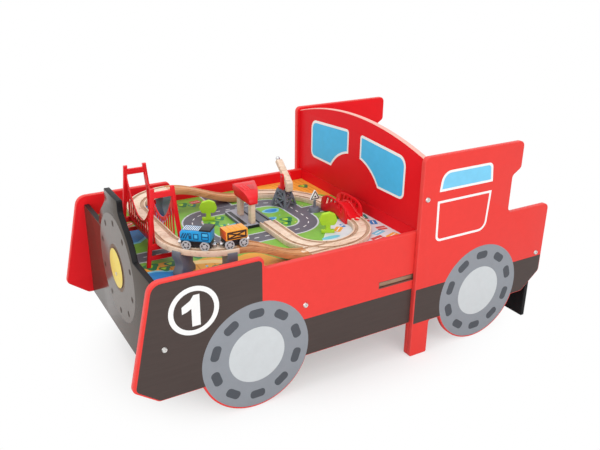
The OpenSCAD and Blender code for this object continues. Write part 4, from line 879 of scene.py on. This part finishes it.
def flower(k):
    """One of the flowers that golden-section steps strew over the tray."""
    x = FLOWER_LOW.x + FLOWER_SPAN.x * (k * GOLDEN % 1.0)
    y = FLOWER_LOW.y + FLOWER_SPAN.y * ((k * (1.0 - GOLDEN) + FLOWER_SHIFT * (k % 5)) % 1.0)
    colour = FLOWER_COLOURS[k % len(FLOWER_COLOURS)]
    tray.add(colour, ring(x, y, FLOWER_R + FLOWER_STEP * (k % 3), 12), lift=0.10)


for cx, cy, rx, ry in PONDS:
    pond = oval(cx, cy, rx, ry, POND_SWELL)
    tray.add("foam", pond, lift=0.09)
    tray.add("water", scaled(pond, cx, cy, POND_SHARE), lift=0.13)
for cx, cy, r in BUSHES:
    bush(cx, cy, r)
for k in range(FLOWERS):
    flower(k)

# Houses (x, y, length, width, angle), parked cars, awnings (x, y, length, angle, colour) and flower beds
HOUSES = (
    (70, -196, 34, 22, 12), (112, -150, 24, 20, -8), (-46, -216, 28, 20, 4), (-200, 214, 26, 20, 6),
    (-390, 150, 26, 18, 30),
)
HOUSE_ROUND, RIDGE_W = 2.0, 1.6
BAYS, BAY_X, BAY_STEP, BAY_Y, BAY_LEAN = 7, 34.0, 14.0, -92.0, 82.0
BAY_LEN, BAY_LINE = 30.0, 1.8
LINE_END = 0.5
CARS = ((41, "water"), (69, "field"), (97, "foam"), (111, "roof_print"))
CAR_Y, CAR_LEN, CAR_W, CAR_ROUND = BAY_Y - 2.0, 20.0, 9.0, 3.0
CAR_ROOF_SHIFT, CAR_ROOF_LEN, CAR_ROOF_W, CAR_ROOF_ROUND = 0.4, 6.0, 6.4, 1.2
AWNINGS = (
    (116, -72, 30, 74, "teal"), (116, -112, 26, 68, "water"), (90, -168, 34, 20, "foam"),
    (108, -196, 34, 20, "field"), (20, -108, 30, 40, "field"), (52, -140, 28, 30, "teal"),
)
AWNING_W, AWNING_ROUND = 17.0, 3.0
STRIPE_LESS, STRIPE_W, STRIPE_ROUND = 8.0, 2.4, 0.6
FLOWER_BEDS = ((-20, -140, "foam"), (10, -172, "field"), (-14, -186, "water"))
FLOWER_BED_HALF = (24.0, 8.0)
for cx, cy, length, width, angle in HOUSES:
    tray.add("roof_print", bar(cx, cy, length, width, angle, HOUSE_ROUND), lift=0.14)
    tray.add("white", bar(cx, cy, length, RIDGE_W, angle, LINE_END), lift=0.17)
for k in range(BAYS):
    tray.add("kerb", bar(BAY_X + BAY_STEP * k, BAY_Y, BAY_LEN, BAY_LINE, BAY_LEAN, LINE_END), lift=0.10)
for cx, key in CARS:
    roof = bar(cx + CAR_ROOF_SHIFT, BAY_Y, CAR_ROOF_LEN, CAR_ROOF_W, BAY_LEAN, CAR_ROOF_ROUND)
    tray.add(key, bar(cx, CAR_Y, CAR_LEN, CAR_W, BAY_LEAN, CAR_ROUND), lift=0.15)
    tray.add("white", roof, lift=0.18)
for cx, cy, length, angle, key in AWNINGS:
    tray.add(key, bar(cx, cy, length, AWNING_W, angle, AWNING_ROUND), lift=0.14)
    tray.add("white", bar(cx, cy, length - STRIPE_LESS, STRIPE_W, angle, STRIPE_ROUND), lift=0.17)
for cx, cy, key in FLOWER_BEDS:
    tray.add(key, oval(cx, cy, *FLOWER_BED_HALF))
tray.done()

# Railway: a face this deep below a track's top, in millimetres, belongs to a groove
GROOVE_FROM, GROOVE_TO = 0.9, 3.2
TRACK_ARRIS, POST_ARRIS, JIB_ARRIS, TREE_ARRIS = 0.7, 0.8, 1.2, 1.4
TOWER_ARRIS, CABLE_ARRIS, RED_ARRIS, GREY_ARRIS = 1.4, 0.6, 0.7, 0.6
JIB_KEEP = 3.0
TREE_TURNS = {"tree_front": -20.0, "tree_rear": -25.0}


def groove_key(node, key):
    top = corners(node)[1].z
    return lambda spot, normal: "groove" if GROOVE_FROM < top - spot.z < GROOVE_TO else key


for node in ("track_curve_near", "track_curve_far", "track_curve_rear", "track_curve_right", "track_switch"):
    softened(node, TRACK_ARRIS, ["track", "groove"], groove_key(node, "track"))
for node in ("bridge_deck", "track_straight"):
    softened(node, TRACK_ARRIS, ["track_y", "groove"], groove_key(node, "track_y"))
for node in ("track_ramp_near", "track_ramp_rear"):
    softened(node, TRACK_ARRIS, ["ramp"])
for node in ("bridge_tower_near", "bridge_tower_far"):
    prism(node, LEFT, TOWER_ARRIS, "bridge_red", "bridge_red")
for node in ("bridge_cable_front", "bridge_cable_rear"):
    prism(node, X, CABLE_ARRIS, "bridge_red", "bridge_red")
for node in ("arch_bridge", "station_roof", "crane_fork"):
    softened(node, RED_ARRIS, ["bridge_red"])
for node in ("pier_curve", "pier_ramp", "pier_far", "crane_tower", "sign_stand"):
    softened(node, GREY_ARRIS, ["grey_plastic"])
softened("station_posts", POST_ARRIS, ["post"])
prism("crane_jib", X, JIB_ARRIS, "track_y", "track_y", keep=JIB_KEEP)
paint_node("crane_bead", "chrome")
for node, turn in TREE_TURNS.items():
    a = math.radians(turn)
    prism(node, (math.sin(a), -math.cos(a), 0), TREE_ARRIS, "lime", "lime")

# Station: pale platform with a dark strip, black rails on its bed
SAME_LEVEL = 0.1
STATION_LO, STATION_HI = corners("station_base")
PLATFORM_Z = STATION_HI.z
BED_W, BED_H = 41.0, 4.0
BED_X, BED_Z = STATION_HI.x - BED_W, TRAY_Z + BED_H
STATION_ARRIS = 0.5
STRIP_EDGE, STRIP_W, STRIP_END, STRIP_ROUND = 4.0, 10.0, 10.0, 3.0


def station_key(spot, normal):
    if spot.x > BED_X and spot.z > BED_Z + SAME_LEVEL:
        return "train_black"
    return "pale_plastic" if spot.z > PLATFORM_Z - SAME_LEVEL else "grey_plastic"


station_keys = ["grey_plastic", "pale_plastic", "train_black"]
softened("station_base", STATION_ARRIS, station_keys, station_key)
strip_x, strip_y = STATION_LO.x + STRIP_EDGE, STATION_LO.y + STRIP_END
p = Prints("print_station", (0, 0, PLATFORM_Z), X, Y, "grey_plastic")
p.add("train_black", box_loop(strip_x, strip_y, strip_x + STRIP_W, STATION_HI.y - STRIP_END, STRIP_ROUND))
p.done()

# Warning sign: dark border and dot on both faces
SIGN_LO, SIGN_HI = corners("sign_plate")
SIGN_X = (SIGN_LO.x + SIGN_HI.x) / 2
SIGN_RISE, SIGN_SIDE = 30.0, 30.0
SIGN_LOW = TRAY_Z + SIGN_RISE
SIGN_ARRIS = 0.5
BORDER_OUTER, BORDER_INNER = (1.2, 1.6), (3.4, 0.8)
DOT_Z, DOT_R = SIGN_LOW + 8.0, 2.4


def triangle(gap, r):
    """The sign's outline, inset by a gap, with corners of a radius."""
    half = SIGN_SIDE / 2 - gap * math.sqrt(3)
    low, top = SIGN_LOW + gap, SIGN_LOW + SIGN_SIDE * math.sqrt(3) / 2 - 2 * gap
    return rounded([(-half, low, r), (half, low, r), (0, top, r)])


softened("sign_plate", SIGN_ARRIS, ["white"])
for name, y, right in (("near", SIGN_LO.y, X), ("far", SIGN_HI.y, FRONT)):
    p = Prints("print_sign_" + name, (SIGN_X, y, 0), right, Z, "sign_white")
    p.add("socket", triangle(*BORDER_OUTER), [triangle(*BORDER_INNER)])
    p.add("socket", ring(0, DOT_Z, DOT_R, 32))
    p.done()

# Train: sizes repeated from the part's source, in millimetres
TRAIN_W, LOCO_REACH = 30.0, 30.0
WHEEL_GAUGE, WHEEL_T = 26.0, 4.0
WEB_Y = WHEEL_GAUGE / 2 + WHEEL_T / 3
LOCO_ARRIS, WAGON_ARRIS, CHASSIS_ARRIS, AXLE_ARRIS = 0.45, 0.6, 0.6, 0.35
SLOTS = {"loco": "loco_blue", "wagon": "wagon_orange"}


class Vehicle:
    """A vehicle's middle, heading and sides, read from its two axles."""

    def __init__(self, kind):
        self.kind = kind
        front, rear = self.axle("front"), self.axle("rear")
        self.middle = (front + rear) / 2
        self.heading = (front - rear).normalized()
        self.left = Vector(Z).cross(self.heading)
        self.floor = corners(kind + "_body")[0].z

    def axle(self, end):
        return Vector(JOINTS[f"{self.kind}_{end}_spin"]["pos_m"]) / MM

    def prints(self, place, at, right):
        """Prints on the body; y runs up from the body's floor."""
        name = f"print_{self.kind}_{place}"
        return Prints(name, (at.x, at.y, self.floor), right, Z, SLOTS[self.kind], self.kind)

    def side(self, s):
        """Prints on the left (1) or right (-1) side; x runs to the tail on the left, else to the front."""
        at = self.middle + self.left * s * TRAIN_W / 2
        return self.prints("left" if s > 0 else "right", at, -self.heading * s)

    def front(self, ahead):
        return self.prints("front", self.middle + self.heading * ahead, self.left)

    def wheel(self, end, s):
        """Prints on the recessed web of a left (1) or right (-1) wheel, round its axle."""
        name = f"print_{self.kind}_{end}_wheel_" + ("left" if s > 0 else "right")
        at = self.axle(end) + self.left * s * WEB_Y
        return Prints(name, at, -self.heading * s, Z, "chrome", f"{self.kind}_{end}_wheels")

    def along(self, spot):
        return (spot - self.middle).dot(self.heading)


LOCO, WAGON = Vehicle("loco"), Vehicle("wagon")

# Where faces change colour: the hood's top, just below the louvres' tops, the cab's wall, the wagon's ends
HOOD_TOP, LOUVRE_TOP = LOCO.floor + 20.1, LOCO.floor + 21.25
CAB_WALL, WAGON_END = -10.5, 22.0
FACING = 0.8


# The louvres' tops are white, a painted highlight where light falls on them.
def loco_key(spot, normal):
    if LOCO.along(spot) < CAB_WALL or spot.z < HOOD_TOP:
        return "blue"
    return "white" if spot.z > LOUVRE_TOP else "navy"


def wagon_key(spot, normal):
    end = abs(normal.dot(WAGON.heading)) > FACING and abs(WAGON.along(spot)) > WAGON_END
    return "dark_orange" if end else "orange"


softened("loco_body", LOCO_ARRIS, ["blue", "white", "navy"], loco_key)
softened("wagon_body", WAGON_ARRIS, ["orange", "dark_orange"], wagon_key)
for node in ("loco_roof", "loco_chassis", "wagon_chassis"):
    softened(node, CHASSIS_ARRIS, ["train_black"])


def print_loco_side(s):
    """Slanted grille, door, hatch, cab window with a panel below, and a sill line."""
    p = LOCO.side(s)
    cab_holes = [box_loop(14.6, 11.2, 25.8, 17.4, 1.4), box_loop(14.6, 5.2, 25.8, 9.4, 1.0)]
    shapes = [("navy", bar(-25.4 + 4.6 * k, 10.2, 13.0, 2.4, 62, 0.9), []) for k in range(3)]
    shapes += [
        ("navy", box_loop(-12.5, 4.2, -6.6, 16.0, 1.0), [box_loop(-11.0, 11.4, -8.1, 14.5, 0.5)]),
        ("navy", box_loop(-3.4, 4.2, 7.4, 16.0, 1.0), [box_loop(-1.7, 5.9, 5.7, 14.3, 0.6)]),
        ("pale_blue", box_loop(-0.6, 7.0, 4.6, 13.2, 0.6), []),
        ("navy", box_loop(12.8, 3.4, 27.6, 19.2, 2.4), cab_holes),
        ("pale_blue", box_loop(15.2, 11.9, 25.2, 16.8, 0.8), []),
        ("navy", box_loop(-28.6, 1.2, 28.6, 2.2, 0.3), []),
    ]
    for key, outer, holes in shapes:
        p.add(key, mirrored(outer, s), [mirrored(hole, s) for hole in holes])
    p.done()


CROSS_RUN, CROSS_RISE, CROSS_Z = 34.0, 10.2, 9.5
CROSS_LEN, CROSS_W, CROSS_ROUND = 36.0, 3.0, 0.2


def print_wagon_side(s):
    """A frame with a cross."""
    p = WAGON.side(s)
    p.add("brown_print", box_loop(-20.4, 1.6, 20.4, 17.4, 0.8), [box_loop(-17.0, 5.0, 17.0, 14.0, 0.4)])
    slope = math.degrees(math.atan2(CROSS_RISE, CROSS_RUN))
    for lean in (slope, -slope):
        p.add("brown_print", bar(0, CROSS_Z, CROSS_LEN, CROSS_W, lean, CROSS_ROUND), lift=0.11)
    p.done()


HEADLAMP_X, HEADLAMP_Z, HEADLAMP_R, GLASS_R = 8.5, 6.4, 2.7, 1.9
SLATS, SLAT_Z, SLAT_STEP = 4, 5.0, 3.0
SLAT_LEN, SLAT_W, SLAT_ROUND = 9.0, 1.3, 0.5


def print_loco_front():
    """Two lamps and a grille."""
    p = LOCO.front(LOCO_REACH)
    for x in (-HEADLAMP_X, HEADLAMP_X):
        glass = ring(x, HEADLAMP_Z, GLASS_R, 32)
        p.add("white", ring(x, HEADLAMP_Z, HEADLAMP_R, 32), [glass])
        p.add("lamp", glass)
    for k in range(SLATS):
        p.add("navy", bar(0, SLAT_Z + SLAT_STEP * k, SLAT_LEN, SLAT_W, 0, SLAT_ROUND))
    p.done()


SPOKES, SPOKE_GAP = 5, 50.0
OPENING_R, OPENING_W = 5.6, 2.5


def print_wheel(vehicle, end, s):
    """Painted shade in the openings between the spokes, on the wheel's web."""
    p = vehicle.wheel(end, s)
    for k in range(SPOKES):
        turn = 360.0 * k / SPOKES
        opening = arc(0, 0, OPENING_R, turn, turn + SPOKE_GAP, 8)
        p.add("spoke_gap_shade", strip(opening, OPENING_W), lift=0.06, sink=0.02)
    p.done()


for s in (1, -1):
    print_loco_side(s)
    print_wagon_side(s)
print_loco_front()
for vehicle in (LOCO, WAGON):
    for end in ("front", "rear"):
        softened(f"{vehicle.kind}_axle_{end}", AXLE_ARRIS, ["wheel_silver"])
        for s in (1, -1):
            print_wheel(vehicle, end, s)
    paint_node(vehicle.kind + "_links", "chrome")

# Stage, in metres: the floor runs out into the white backdrop within an oval round the table
FLOOR_SIZE, FLOOR_DROP, FLOOR_GRAIN = 12.0, 0.0005, 3.0
FLOOR_OVAL = (0.7, 1.0, 1.0)
FADE_FROM, FADE_TO, FADE_LEAST = 0.22, 0.43, 0.4
WORLD_LAMP, WORLD_SEEN = 0.72, 1.0


def floor_finish():
    net = Finish("studio_floor")
    stops = [(LOW_STOP, tone(BLANK, 0.91)), (HIGH_STOP, tone(BLANK, 0.93))]
    base = net.ramp(net.noise(FLOOR_GRAIN, 2.0), stops)
    net.shade({"Base Color": base, "Roughness": 0.8, "Specular IOR Level": 0.1})
    away = net.node("VectorMath", {0: net.coords(FLOOR_OVAL)}, operation="LENGTH").outputs["Value"]
    inputs = {"Value": away, "From Min": FADE_FROM, "From Max": FADE_TO, "To Min": FADE_LEAST}
    fade = net.node("MapRange", inputs, interpolation_type="SMOOTHSTEP").outputs["Result"]
    seen = net.node("LightPath", {}).outputs["Is Camera Ray"]
    share = net.node("Math", {0: fade, 1: seen}, operation="MULTIPLY").outputs[0]
    glow = net.node("Emission", {}).outputs[0]
    blend = net.node("MixShader", {0: share, 1: net.shader.outputs[0], 2: glow})
    net.put(net.tree.nodes["Material Output"].inputs["Surface"], blend.outputs[0])
    return net.mat


bm = bmesh.new()
bmesh.ops.create_grid(bm, x_segments=4, y_segments=4, size=FLOOR_SIZE)
floor_mesh = bpy.data.meshes.new("studio_floor")
bm.to_mesh(floor_mesh)
bm.free()
floor_mesh.materials.append(floor_finish())
floor = link("studio_floor", floor_mesh)
floor.location.z = -FLOOR_DROP

# World: pure white to the camera and in mirrors, dimmer as a lamp
scene.world = bpy.data.worlds.new("studio_world")
scene.world.use_nodes = True
world_net = Net(scene.world.node_tree)
rays = world_net.node("LightPath", {}).outputs
seen = world_net.node("Math", {0: rays["Is Camera Ray"], 1: rays["Is Glossy Ray"]}, operation="MAXIMUM")
backdrop = world_net.tree.nodes["Background"]
world_net.put(backdrop.inputs["Color"], (*BLANK, 1.0))
world_net.put(backdrop.inputs["Strength"], world_net.span(seen.outputs[0], WORLD_LAMP, WORLD_SEEN))


def softbox(name, place, target, size, power):
    lamp = bpy.data.lights.new(name, "AREA")
    lamp.shape = "SQUARE"
    lamp.size = size
    lamp.energy = power
    obj = link(name, lamp)
    obj.location = place
    obj.rotation_euler = (Vector(target) - Vector(place)).to_track_quat("-Z", "Y").to_euler()


softbox("key_light", (-0.1, -2.6, 2.4), (0.0, 0.0, 0.2), size=2.2, power=40.0)
softbox("top_light", (-0.3, 0.6, 3.0), (0.0, 0.0, 0.2), size=2.6, power=30.0)
softbox("front_fill", (-3.0, -0.5, 1.5), (0.1, 0.0, 0.3), size=1.8, power=20.0)

# Camera, fitted to the photograph: place in metres, turns about X, Y and Z in degrees
CAM_PLACE = (-0.802206, -1.325157, 0.896261)
CAM_TURNS = (67.6461, -0.6226, -30.3479)
cam_data = bpy.data.cameras.new("camera")
cam_data.sensor_fit = "HORIZONTAL"
cam_data.sensor_width = 36.0
cam_data.lens = 41.471
cam_data.clip_end = 50.0
cam = link("camera", cam_data)
cam.location = CAM_PLACE
cam.rotation_euler = [math.radians(turn) for turn in CAM_TURNS]
scene.camera = cam
scene.view_settings.view_transform = "Standard"
